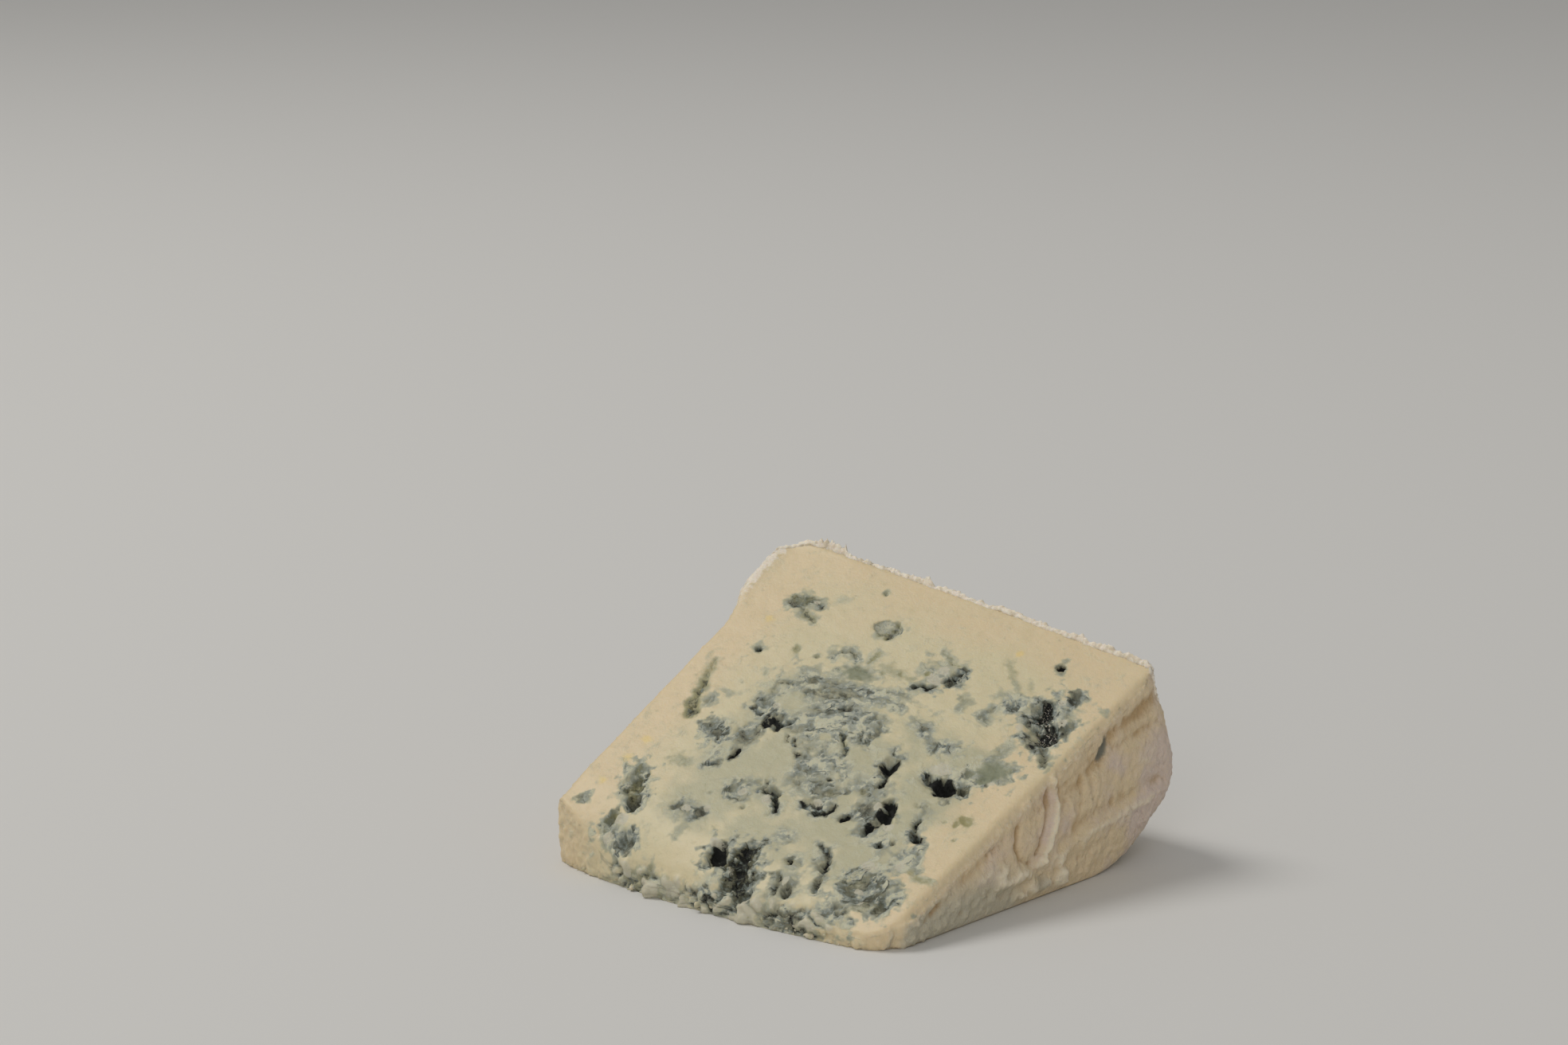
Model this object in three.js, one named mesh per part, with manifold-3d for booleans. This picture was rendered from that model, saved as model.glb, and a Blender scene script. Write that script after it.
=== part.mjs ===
// A loose wedge of blue cheese, cut with a knife from a whole wheel and laid down on one of
// its two cut faces. The other cut face slopes up from the thin, blunt tip, where the middle
// of the wheel was, to the thick rim. The two ends are the flat faces of the wheel, and they
// carry the wrinkled rind, as the rim does.
//
// X runs across the wheel's height, from one flat face to the other. Y runs from the tip to
// the rim, and Z is up. The origin is on the underside, in the middle of the wedge's box.
// Units are millimetres.

import * as THREE from 'three';
import { mergeVertices } from 'three/addons/utils/BufferGeometryUtils.js';
import Module from 'manifold-3d';

// ---- Driving dimensions ----

const WHEEL_HEIGHT = 85; // between the wheel's flat faces
const WHEEL_RADIUS = 100.5; // from the wheel's axis to its rim
const AXIS_TO_TIP = 12.1; // the crumbled edge at the axis is missing
const TIP_TO_MIDDLE = 41.8; // from the tip line to the middle of the wedge's box
const TIP_THICK = { left: 14.2, right: 5 }; // the cut face's height at the tip line
const RISE = { left: 0.536, right: 0.4225 }; // the cut face's slope along each end
const TIP_BULGE = 5.2; // how far the middle of the tip stands out
const NOSE_LENGTH = 9; // over which the cut face falls to the tip
const NOSE_EDGE = { left: 14, right: 2.6 }; // height of the tip's upright band
const END_BULGE = { tip: 0.8, rim: 2 }; // how far the flat faces swell
const RIM_SAG = 1.8; // how far the soft rim bulges
const RIM_SAG_HEIGHT = 38; // up to this height
const SKIRT = 1.5; // cut away to leave the underside flat

const REAR_CORNER = { left: 9, rightTop: 5.5, rightLow: 24 }; // plan radii at the rim
const FRONT_CORNER = 6; // plan radius beside the tip
const LOWER_EDGE = 6; // radius where the rim meets the underside
const UPPER_EDGE = 1.6; // radius round the cut face
const LIP = { rise: 1.2, out: 2.1, width: 4, from: 50, to: 80, fade: 8 }; // rind curled up at rear left

const CRUMB = { tip: 1.1, face: 0.35, edge: 0.7 }; // height of the broken texture
const GRAIN = 4.5; // size of one crumb
const RIND_WAVE = { height: 0.45, length: 11 }; // slow unevenness of the rind
const COLUMNS = 30; // across
const ROWS = 36; // tip to rim
const LAYERS = 10; // underside to cut face
const CROWDING = 0.55; // rows draw together towards the edges

const HALF = WHEEL_HEIGHT / 2;

// Furrows in the rind of the right end, as a path of [along, up], a width and a depth.
const FURROWS = [
  { path: [[16, 7], [40, 17.5], [80, 33]], width: 2.4, depth: 0.7 },
  { path: [[45.7, 25], [46, 15], [43, 8.5]], width: 3, depth: 2.2 },
  { path: [[38, 15], [41, 11]], width: 8, depth: 1.6 },
  { path: [[33, 14], [36, 9]], width: 2.6, depth: 0.9 },
  { path: [[49, 18.5], [62, 20.5], [80, 20.5]], width: 3, depth: 1.2 },
  { path: [[49, 19], [49, 13]], width: 2.4, depth: 1 },
  { path: [[44, 5], [60, 7], [68, 7.5]], width: 2.6, depth: 1 },
];
const RIDGES = [
  { path: [[47.5, 19], [47, 11], [43, 7.5], [30, 6.5]], width: 2.6, depth: 1.1 },
  { path: [[60, 18], [80, 18]], width: 3, depth: 0.6 },
];

// Open pockets in the sloping cut face, where blue mould grew. Each has its middle as
// [across, along from the tip line], its size as [across, along], its depth and its turn.
const POCKETS = [
  { at: [33.5, 57], size: [11, 11], depth: 6, turn: 20 },
  { at: [35.5, 64.5], size: [3, 3.6], depth: 1.8, turn: 0 },
  { at: [39.3, 48.6], size: [5, 2.2], depth: 1.8, turn: -45 },
  { at: [27, 33.5], size: [8, 4.6], depth: 6, turn: -12 },
  { at: [32.5, 41], size: [7, 5], depth: 1.2, turn: 30 },
  { at: [2.5, 1], size: [9.5, 8.5], depth: 5.2, turn: -30 },
  { at: [22.6, 23.6], size: [2.4, 6], depth: 3, turn: -38 },
  { at: [22.3, 18.8], size: [2.2, 4.4], depth: 2.6, turn: 8 },
  { at: [31.3, 20.4], size: [4.4, 2.6], depth: 2.8, turn: -10 },
  { at: [14, 33.3], size: [4.4, 4.8], depth: 4, turn: 0 },
  { at: [0, 16.2], size: [1.6, 6], depth: 2, turn: 50 },
  { at: [9.5, 18], size: [5, 1.8], depth: 1.8, turn: 10 },
  { at: [27.3, 70.2], size: [2.2, 2], depth: 3, turn: 0 },
  { at: [-31, 45.3], size: [2, 2], depth: 2.6, turn: 0 },
  { at: [-14, 32], size: [5.4, 2.2], depth: 2, turn: 25 },
  { at: [-15.7, 21.8], size: [1.6, 2.6], depth: 2.2, turn: 0 },
  { at: [18.8, 8], size: [2.2, 9], depth: 2.4, turn: 32 },
  { at: [27, 15.6], size: [3, 2.4], depth: 2, turn: 20 },
  { at: [17.5, -0.5], size: [5.5, 5], depth: 2.2, turn: 0 },
  { at: [-10.5, 62.3], size: [6.4, 4.8], depth: 2.4, turn: 20 },
  { at: [-31, 59.6], size: [7.4, 4], depth: 2.2, turn: -15 },
  { at: [10, 58], size: [4, 6], depth: 2.8, turn: -14 },
  { at: [6.6, 53.2], size: [4.4, 1.8], depth: 1.6, turn: 0 },
  { at: [-34.4, 32.4], size: [2.2, 13], depth: 1.4, turn: 22 },
  { at: [-29.5, 7], size: [6, 9], depth: 2.6, turn: 18 },
  { at: [-15.5, 7], size: [8.5, 3.6], depth: 1.6, turn: 0 },
  { at: [-8, 15.3], size: [8, 4.6], depth: 1.6, turn: 0 },
  { at: [33.5, 5.5], size: [12, 8], depth: 2, turn: -18 },
  { at: [34.5, 16], size: [6, 5], depth: 1.3, turn: -30 },
  { at: [-19, 26], size: [7, 9], depth: 1.1, turn: 0 },
];
const LARGE_POCKET = 6; // from this size on a pocket is rounded with more faces
const POCKET_ROUGHNESS = { height: 0.32, bumps: 1.7 }; // as shares of the pocket's own size

// The underside is the wedge's other cut face, with shallow pockets in a ring round its middle.
const UNDER_POCKETS = 6;
const UNDER_RING = { across: 26, along: 27 };
const UNDER_SIZE = { least: 3.5, most: 8, depth: 1.8 };

// ---- Small helpers ----

const mix = (a, b, t) => a + (b - a) * t;
const clamp = (t, low = 0, high = 1) => Math.min(high, Math.max(low, t));
const ease = (from, to, t) => THREE.MathUtils.smoothstep(t, from, to);
const crowd = (t) => t - (CROWDING * Math.sin(2 * Math.PI * t)) / (2 * Math.PI);
const hill = (distance, width) => Math.exp(-((distance / (width / 2)) ** 2));

// How far an arc of this radius has dropped at a distance past its start.
function arcDrop(past, radius) {
  const t = clamp(past / radius);
  return radius * (1 - Math.sqrt(1 - t * t));
}

// A repeatable value between -1 and 1 for each cell of a lattice.
function cellValue(i, j, k) {
  const s = Math.sin(i * 127.1 + j * 311.7 + k * 74.7) * 43758.5453;
  return 2 * (s - Math.floor(s)) - 1;
}

// Smooth noise between -1 and 1, one bump to a unit.
function noise(x, y, z) {
  const [i, j, k] = [x, y, z].map(Math.floor);
  const [a, b, c] = [x - i, y - j, z - k].map((t) => t * t * (3 - 2 * t));
  const edge = (dj, dk) => mix(cellValue(i, j + dj, k + dk), cellValue(i + 1, j + dj, k + dk), a);
  const side = (dk) => mix(edge(0, dk), edge(1, dk), b);
  return mix(side(0), side(1), c);
}

// Two sizes of noise together, as broken cheese has.
function crumble(x, y, z) {
  const [a, b, c] = [x, y, z].map((t) => t / GRAIN);
  return 0.65 * noise(a, b, c) + 0.35 * noise(2.3 * a + 9, 2.3 * b, 2.3 * c);
}

function distanceToPath(y, z, path) {
  let nearest = Infinity;
  for (let i = 1; i < path.length; i++) {
    const [ay, az] = path[i - 1];
    const [dy, dz] = [path[i][0] - ay, path[i][1] - az];
    const t = clamp(((y - ay) * dy + (z - az) * dz) / (dy * dy + dz * dz));
    nearest = Math.min(nearest, Math.hypot(y - ay - t * dy, z - az - t * dz));
  }
  return nearest;
}

// ---- The wedge's own form ----

// Height of the flat cut, which leans a little from end to end.
function cutPlane(x, y) {
  const side = clamp((x + HALF) / WHEEL_HEIGHT);
  return mix(TIP_THICK.left + RISE.left * y, TIP_THICK.right + RISE.right * y, side);
}

// The tip bulges forward in its middle.
function tipLine(x) {
  const u = clamp(x / HALF, -1, 1);
  return -TIP_BULGE * (1 - u * u) ** 0.7;
}

// The rim is a part of the wheel's round side, so it leans forward as it rises.
function rimLine(z) {
  const height = clamp(z, 0, WHEEL_RADIUS);
  const round = Math.sqrt(WHEEL_RADIUS ** 2 - height ** 2) - AXIS_TO_TIP;
  const sag = RIM_SAG * Math.sin(Math.PI * clamp(height / RIM_SAG_HEIGHT));
  return round + sag - arcDrop(LOWER_EDGE - z, LOWER_EDGE);
}

// Rind that curled up and out round the rear left corner, as a share of its height.
function lipShare(x, y) {
  const along = ease(LIP.from, LIP.from + LIP.fade, y) * (1 - ease(LIP.to - LIP.fade / 2, LIP.to, y));
  const toSide = x + HALF;
  const toRim = rimLine(cutPlane(x, y)) - y;
  const corner = 1 - ease(LIP.width, 3 * LIP.width, toSide);
  return along * corner * Math.max(hill(toSide, LIP.width), hill(toRim, LIP.width));
}

// Height of the top surface: the cut, its rounded nose, its soft outer edge and the lip.
function topHeight(x, y) {
  const cut = cutPlane(x, y);
  const band = mix(NOSE_EDGE.left, NOSE_EDGE.right, ease(-HALF - 2, -HALF / 2, x));
  const fall = clamp((tipLine(x) + NOSE_LENGTH - y) / NOSE_LENGTH);
  const nose = band + (cut - band) * (1 - fall ** 2.2) ** 0.55;
  const atEnds = arcDrop(Math.abs(x) - HALF + UPPER_EDGE, UPPER_EDGE);
  const atRim = arcDrop(y - rimLine(cut) + UPPER_EDGE, UPPER_EDGE);
  return Math.min(cut, nose) - Math.max(atEnds, atRim) + LIP.rise * lipShare(x, y);
}

// Pulls a point that is past a rounded corner's centre in to that corner's arc.
function roundCorner(point, centreX, centreY) {
  const [dx, dy] = [point.x - centreX, point.y - centreY];
  const isPast = dx * centreX > 0 && dy * (centreY - TIP_TO_MIDDLE) > 0;
  if (!isPast) return;
  const pull = Math.max(Math.abs(dx), Math.abs(dy)) / Math.hypot(dx, dy);
  point.x = centreX + dx * pull;
  point.y = centreY + dy * pull;
}

function roundPlanCorners(point, share, tip, rim) {
  const lowRight = 1 - ease(0, 0.42, share);
  const rearRight = mix(REAR_CORNER.rightTop, REAR_CORNER.rightLow, lowRight);
  roundCorner(point, HALF - rearRight, rim - rearRight);
  roundCorner(point, REAR_CORNER.left - HALF, rim - REAR_CORNER.left);
  roundCorner(point, HALF - FRONT_CORNER, tip + FRONT_CORNER);
}

// Relief of the right end's rind, outwards from the flat face.
function rindRelief(y, z) {
  const total = (lines) =>
    lines.reduce((sum, { path, width, depth }) => sum + depth * hill(distanceToPath(y, z, path), width), 0);
  return total(RIDGES) - total(FURROWS);
}

// Where a point of a plain box goes: u and v run 0 to 1 across and along, w from the
// underside to the cut face.
function wedgePoint(u, v, w) {
  const share = crowd(w);
  const x = mix(-HALF, HALF, crowd(u));
  const tip = tipLine(x);
  const guess = share * cutPlane(x, rimLine(HALF));
  const rim = rimLine(share * cutPlane(x, rimLine(guess)));
  const point = new THREE.Vector3(x, mix(tip, rim, crowd(v)), 0);
  roundPlanCorners(point, share, tip, rim);

  point.z = mix(-SKIRT, topHeight(point.x, point.y), share);
  const swell = mix(END_BULGE.tip, END_BULGE.rim, v) * Math.sin(Math.PI * mix(0, 0.8, w));
  const wave = RIND_WAVE.height * noise(...point.clone().divideScalar(RIND_WAVE.length).toArray());
  const outward = Math.sign(x) * ease(0.88, 1, Math.abs(x) / HALF);
  point.x += outward * (swell + wave);
  point.y += ease(0.96, 1, v) * wave;
  if (outward > 0) point.x += outward * rindRelief(point.y, point.z);
  if (outward < 0) point.x -= LIP.out * lipShare(x, point.y) * share ** 3;
  return addCrumbs(point, tip, share);
}

// Breaks up the surface: most at the tip and round the cut's edge, least on the flat cut.
function addCrumbs(point, tip, share) {
  const { x, y, z } = point;
  const nearTip = 1 - ease(tip + 2, tip + NOSE_LENGTH + 3, y);
  const atEdge = ease(0.96, 1, Math.abs(x) / HALF) * ease(0.9, 1, share);
  const height = Math.max(CRUMB.tip * nearTip, CRUMB.edge * atEdge, CRUMB.face);
  point.y -= nearTip * height * crumble(x + 50, y, z);
  point.z += ease(0.4, 1, share) * height * crumble(x, y, z);
  return point;
}

// ---- Solids ----

function toSolid(geometry) {
  geometry.deleteAttribute('normal');
  geometry.deleteAttribute('uv');
  const merged = mergeVertices(geometry);
  const vertProperties = merged.getAttribute('position').array;
  const triVerts = new Uint32Array(merged.index.array);
  return new wasm.Manifold(new wasm.Mesh({ numProp: 3, vertProperties, triVerts }));
}

function toGeometry(solid) {
  const { vertProperties, triVerts } = solid.getMesh();
  const geometry = new THREE.BufferGeometry();
  geometry.setAttribute('position', new THREE.BufferAttribute(vertProperties, 3));
  geometry.setIndex(new THREE.BufferAttribute(triVerts, 1));
  geometry.computeVertexNormals();
  return geometry;
}

function movePoints(geometry, place) {
  const positions = geometry.getAttribute('position');
  const point = new THREE.Vector3();
  for (let i = 0; i < positions.count; i++) {
    point.fromBufferAttribute(positions, i);
    positions.setXYZ(i, ...place(point).toArray());
  }
  return geometry;
}

function wedgeSolid() {
  const box = new THREE.BoxGeometry(1, 1, 1, COLUMNS, ROWS, LAYERS);
  return toSolid(movePoints(box, (p) => wedgePoint(p.x + 0.5, p.y + 0.5, p.z + 0.5)));
}

// Everything above the board, to cut the underside flat.
function aboveBoard() {
  const size = 4 * HALF;
  return toSolid(new THREE.BoxGeometry(size, 2 * size, size).translate(0, 0, size / 2));
}

// A rough bowl, to be cut out of a surface with this normal.
function pocketSolid(centre, normal, { size, depth, turn }) {
  const detail = Math.max(...size) < LARGE_POCKET ? 1 : 2;
  const bowl = movePoints(new THREE.IcosahedronGeometry(1, detail), (p) => {
    const spot = p.clone().multiplyScalar(POCKET_ROUGHNESS.bumps).add(centre);
    return p.multiplyScalar(1 + POCKET_ROUGHNESS.height * noise(...spot.toArray()));
  });
  bowl.scale(size[0] / 2, size[1] / 2, depth);
  bowl.rotateZ(THREE.MathUtils.degToRad(turn));
  const facing = new THREE.Quaternion().setFromUnitVectors(new THREE.Vector3(0, 0, 1), normal);
  bowl.applyQuaternion(facing);
  return toSolid(bowl.translate(...centre.toArray()));
}

function facePocket(pocket) {
  const [x, y] = pocket.at;
  const step = 1;
  const height = topHeight(x, y);
  const slopeX = (topHeight(x + step, y) - height) / step;
  const slopeY = (topHeight(x, y + step) - height) / step;
  const normal = new THREE.Vector3(-slopeX, -slopeY, 1).normalize();
  return pocketSolid(new THREE.Vector3(x, y, height), normal, pocket);
}

function underPocket(number) {
  const angle = ((number + 0.5) / UNDER_POCKETS) * 2 * Math.PI;
  const reach = mix(0.75, 1.15, Math.abs(cellValue(number, 1, 0)));
  const x = reach * UNDER_RING.across * Math.cos(angle);
  const y = TIP_TO_MIDDLE + reach * UNDER_RING.along * Math.sin(angle);
  const draw = (row) => mix(UNDER_SIZE.least, UNDER_SIZE.most, Math.abs(cellValue(number, row, 0)));
  const pocket = { size: [draw(2), draw(3)], depth: UNDER_SIZE.depth, turn: 180 * cellValue(number, 4, 0) };
  return pocketSolid(new THREE.Vector3(x, y, 0), new THREE.Vector3(0, 0, 1), pocket);
}

// ---- The part ----

const wasm = await Module();
wasm.setup();

let cheese = wedgeSolid().intersect(aboveBoard());
for (const pocket of POCKETS) cheese = cheese.subtract(facePocket(pocket));
for (let i = 0; i < UNDER_POCKETS; i++) cheese = cheese.subtract(underPocket(i));

const paste = new THREE.MeshStandardMaterial({ color: 0xd8c7a0, roughness: 0.55, metalness: 0 });
const wedge = new THREE.Mesh(toGeometry(cheese), paste);
wedge.name = 'cheese_wedge';
wedge.position.y = -TIP_TO_MIDDLE;

const group = new THREE.Group();
group.add(wedge);

export default group;
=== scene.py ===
import itertools
import math

import bmesh
import bpy
import numpy as np
from mathutils import Matrix, Vector


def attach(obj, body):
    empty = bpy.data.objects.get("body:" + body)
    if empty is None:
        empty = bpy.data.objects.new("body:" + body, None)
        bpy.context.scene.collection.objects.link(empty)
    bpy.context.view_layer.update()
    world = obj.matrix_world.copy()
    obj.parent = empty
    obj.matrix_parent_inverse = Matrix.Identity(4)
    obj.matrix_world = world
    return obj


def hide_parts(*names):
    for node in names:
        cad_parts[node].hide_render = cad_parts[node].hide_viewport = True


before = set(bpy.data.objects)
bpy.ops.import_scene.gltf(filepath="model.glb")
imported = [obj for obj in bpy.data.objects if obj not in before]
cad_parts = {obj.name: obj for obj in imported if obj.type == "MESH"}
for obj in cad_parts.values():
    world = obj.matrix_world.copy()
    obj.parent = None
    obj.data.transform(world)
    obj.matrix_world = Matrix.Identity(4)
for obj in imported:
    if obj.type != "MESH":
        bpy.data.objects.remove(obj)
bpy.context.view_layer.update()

# ---- The wedge's form ----
# One piece of blue cheese, cut by knife from a whole wheel. It starts as a cube, cut into a grid
# and laid over the wedge's tip, rim, ends and cut face, then evened out to small faces all over.
# All sizes are in millimetres, along from the line of the blunt tip and up from the board.

MM = 0.001
WHEEL_HEIGHT = 85.0
WHEEL_RADIUS = 100.5
AXIS_TO_TIP = 12.1
TIP_TO_MIDDLE = 41.8
TIP_THICK_LEFT, TIP_THICK_RIGHT = 14.2, 5.0
RISE_LEFT, RISE_RIGHT = 0.536, 0.4225
TIP_BULGE = 5.2
NOSE_LENGTH = 9.0
NOSE_EDGE_LEFT, NOSE_EDGE_RIGHT = 14.0, 2.6
END_BULGE_TIP, END_BULGE_RIM = 0.8, 2.0
RIM_SAG, RIM_SAG_HEIGHT = 1.8, 38.0
REAR_CORNER_LEFT, REAR_CORNER_TOP, REAR_CORNER_LOW = 9.0, 5.5, 24.0
FRONT_CORNER = 6.0
LOWER_EDGE, UPPER_EDGE = 6.0, 1.6
LIP_RISE, LIP_OUT, LIP_WIDTH = 0.9, 4.0, 3.6
LIP_FROM, LIP_TO, LIP_FADE = 48.0, 84.0, 13.0
HALF = WHEEL_HEIGHT / 2
GRID_CUTS = (70, 90, 34)     # across, along and up
CROWDING = 0.55              # grid lines draw together towards the edges
FACE_SIZE = 0.41             # of the small faces that the relief is set out on
TINY = 1e-6


def mix(a, b, share):
    return a + (b - a) * share


def ease(start, end, value):
    share = np.clip((value - start) / (end - start), 0, 1)
    return share * share * (3 - 2 * share)


def crowd(share):
    """A share from 0 to 1, drawn towards the nearer end."""
    return share - CROWDING * np.sin(2 * np.pi * share) / (2 * np.pi)


def hill(distance, width):
    """A soft bump of height 1, as wide as told."""
    return np.exp(-(distance / (width / 2)) ** 2)


def arc_drop(past, radius):
    """How far a rounded edge has fallen away, past the line where its arc begins."""
    share = np.clip(past / radius, 0, 1)
    return radius * (1 - np.sqrt(1 - share * share))


def cut_plane(across, along):
    side = np.clip((across + HALF) / WHEEL_HEIGHT, 0, 1)
    left = TIP_THICK_LEFT + RISE_LEFT * along
    right = TIP_THICK_RIGHT + RISE_RIGHT * along
    return mix(left, right, side)


def tip_line(across):
    side = np.clip(across / HALF, -1, 1)
    return -TIP_BULGE * (1 - side * side) ** 0.7


def rim_line(up):
    height = np.clip(up, 0, WHEEL_RADIUS)
    sag = RIM_SAG * np.sin(np.pi * np.clip(height / RIM_SAG_HEIGHT, 0, 1))
    along = np.sqrt(WHEEL_RADIUS ** 2 - height ** 2) - AXIS_TO_TIP
    return along + sag - arc_drop(LOWER_EDGE - up, LOWER_EDGE)


def corner_share(across, along):
    """How far a point is into the rear left corner, where the rind curls out, from 0 to 1."""
    fade = ease(LIP_FROM, LIP_FROM + LIP_FADE, along) * ease(LIP_TO, LIP_TO - LIP_FADE / 2, along)
    return fade * ease(4 * LIP_WIDTH, 0, across + HALF)


def lip_share(across, along):
    """How much of the curled rind's thin edge stands here, from 0 to 1."""
    to_side = across + HALF
    to_rim = rim_line(cut_plane(across, along)) - along
    return corner_share(across, along) * np.maximum(hill(to_side, LIP_WIDTH), hill(to_rim, LIP_WIDTH))


def top_height(across, along):
    """Height of the cut face, with its rounded nose, its soft edge and the curled lip."""
    cut = cut_plane(across, along)
    band = mix(NOSE_EDGE_LEFT, NOSE_EDGE_RIGHT, ease(-HALF - 2, -HALF / 2, across))
    fall = np.clip((tip_line(across) + NOSE_LENGTH - along) / NOSE_LENGTH, 0, 1)
    nose = band + (cut - band) * (1 - fall ** 2.2) ** 0.55
    at_ends = arc_drop(np.abs(across) - HALF + UPPER_EDGE, UPPER_EDGE)
    at_rim = arc_drop(along - rim_line(cut) + UPPER_EDGE, UPPER_EDGE)
    return np.minimum(cut, nose) - np.maximum(at_ends, at_rim) + LIP_RISE * lip_share(across, along)


def round_corner(across, along, side, front_or_back, radius, edge):
    """Pulls the points past a plan corner in to its arc."""
    centre_across = side * (HALF - radius)
    centre_along = edge - front_or_back * radius
    out_across = (across - centre_across) * side
    out_along = (along - centre_along) * front_or_back
    past = (out_across > 0) & (out_along > 0)
    reach = np.maximum(np.hypot(out_across, out_along), TINY)
    pull = np.where(past, np.maximum(out_across, out_along) / reach, 1)
    across = np.where(past, centre_across + side * out_across * pull, across)
    along = np.where(past, centre_along + front_or_back * out_along * pull, along)
    return across, along


def wedge_points(cube):
    """Where the points of a cube from 0 to 1 lie on the wedge, before any relief."""
    up_share = crowd(cube[:, 2])
    across = mix(-HALF, HALF, crowd(cube[:, 0]))
    tip = tip_line(across)
    guess = up_share * cut_plane(across, rim_line(HALF))
    rim = rim_line(up_share * cut_plane(across, rim_line(guess)))
    along = mix(tip, rim, crowd(cube[:, 1]))
    rear_right = mix(REAR_CORNER_LOW, REAR_CORNER_TOP, ease(0, 0.42, up_share))
    side = np.sign(across) * ease(0.88, 1, np.abs(across) / HALF)
    across, along = round_corner(across, along, 1, 1, rear_right, rim)
    across, along = round_corner(across, along, -1, 1, REAR_CORNER_LEFT, rim)
    across, along = round_corner(across, along, 1, -1, FRONT_CORNER, tip)
    up = up_share * top_height(across, along)
    swell = mix(END_BULGE_TIP, END_BULGE_RIM, cube[:, 1]) * np.sin(np.pi * 0.8 * cube[:, 2])
    across = across + side * swell - LIP_OUT * corner_share(across, along) * up_share ** 3
    return np.stack([across, along, up], axis=1)


def read_vectors(items, field):
    values = np.empty(len(items) * 3)
    items.foreach_get(field, values)
    return values.reshape(-1, 3)


def write_points(mesh, points):
    """Sets a mesh's points, given in millimetres from the tip line."""
    mesh.vertices.foreach_set("co", ((points - (0, TIP_TO_MIDDLE, 0)) * MM).ravel())
    mesh.update()


def apply_modifier(piece, kind, **settings):
    """Works one modifier out and keeps its result as the piece's mesh."""
    modifier = piece.modifiers.new(kind.title(), kind)
    for name, value in settings.items():
        setattr(modifier, name, value)
    shaped = piece.evaluated_get(bpy.context.evaluated_depsgraph_get())
    old_mesh, piece.data = piece.data, bpy.data.meshes.new_from_object(shaped)
    piece.modifiers.clear()
    bpy.data.meshes.remove(old_mesh)


def new_object(name, data):
    thing = bpy.data.objects.new(name, data)
    bpy.context.collection.objects.link(thing)
    return thing


def grid_cube(name, cuts):
    """A cube from 0 to 1, cut into a grid, as a new object with its points."""
    shape = bmesh.new()
    bmesh.ops.create_cube(shape, size=1.0)
    bmesh.ops.translate(shape, verts=shape.verts, vec=(0.5, 0.5, 0.5))
    for axis, count in enumerate(cuts):
        lines = [edge for edge in shape.edges if abs((edge.verts[1].co - edge.verts[0].co)[axis]) > TINY]
        bmesh.ops.subdivide_edges(shape, edges=lines, cuts=count, use_grid_fill=True)
    mesh = bpy.data.meshes.new(name)
    shape.to_mesh(mesh)
    shape.free()
    return new_object(name, mesh), read_vectors(mesh.vertices, "co")


cheese, cube_points = grid_cube("cheese", GRID_CUTS)
write_points(cheese.data, wedge_points(cube_points))
apply_modifier(cheese, "REMESH", mode="VOXEL", voxel_size=FACE_SIZE * MM)

# ---- Where each surface lies ----
# The cut is wet, soft paste. The flat ends and the rim carry the rind. The underside is the other
# cut face. Each point is told which of them it is on, and where it lies along the cut face.

CUT_NORMAL = np.array([0.062, -0.432, 0.9])
CUT_NORMAL /= np.linalg.norm(CUT_NORMAL)

points = read_vectors(cheese.data.vertices, "co") / MM + (0, TIP_TO_MIDDLE, 0)
normals = read_vectors(cheese.data.vertex_normals, "vector")


def face_place(points):
    """Each point's place on the cut face, straight out from where it is, found step by step."""
    out = np.zeros(len(points))
    for _ in range(6):
        foot = points - out[:, None] * CUT_NORMAL
        out += 0.85 * (foot[:, 2] - cut_plane(foot[:, 0], foot[:, 1]))
    foot = points - out[:, None] * CUT_NORMAL
    return foot[:, 0], foot[:, 1]


def lattice_noise(points, seed):
    """Smooth noise of about -1 to 1, with one bump to a unit."""
    cell = np.floor(points).astype(np.int64)
    part = points - cell
    blend = part * part * (3 - 2 * part)
    total = np.zeros(len(points))
    for corner in itertools.product((0, 1), repeat=3):
        key = (cell + corner) @ np.array([73856093, 19349663, 83492791]) + seed * 7919
        key = (key ^ (key >> 13)) * 1274126177 & 0xFFFFFFFF
        key = (key ^ (key >> 16)) * 668265263 & 0xFFFFFFFF
        slopes = np.stack([(key >> shift & 1023) / 511.5 - 1 for shift in (2, 12, 22)], axis=1)
        weight = np.prod(np.where(corner, blend, 1 - blend), axis=1)
        total += weight * np.sum(slopes * (part - corner), axis=1)
    return 1.9 * total


def rough(points, size, seed, octaves=3):
    """Noise whose largest bumps are about one size across, each octave half as large."""
    turn = np.array([[0.8, 0.6, 0.0], [-0.48, 0.64, 0.6], [0.36, -0.48, 0.8]])
    spot = points / size
    total = np.zeros(len(points))
    for octave in range(octaves):
        total += lattice_noise(spot, seed + octave) / 2 ** octave
        spot = 2.03 * spot @ turn
    return total


across, along = face_place(points)
up = points[:, 2].copy()
on_cut = ease(0.2, 0.6, normals @ CUT_NORMAL)
on_under = ease(-0.6, -0.9, normals[:, 2])
on_tip = ease(0.3, 0.75, -normals[:, 1]) * ease(8, 4, points[:, 1])
on_rind = (1 - on_cut) * (1 - on_under) * (1 - on_tip)
on_right = on_rind * ease(0.4, 0.8, normals[:, 0])
on_left = on_rind * ease(0.4, 0.8, -normals[:, 0])
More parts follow.
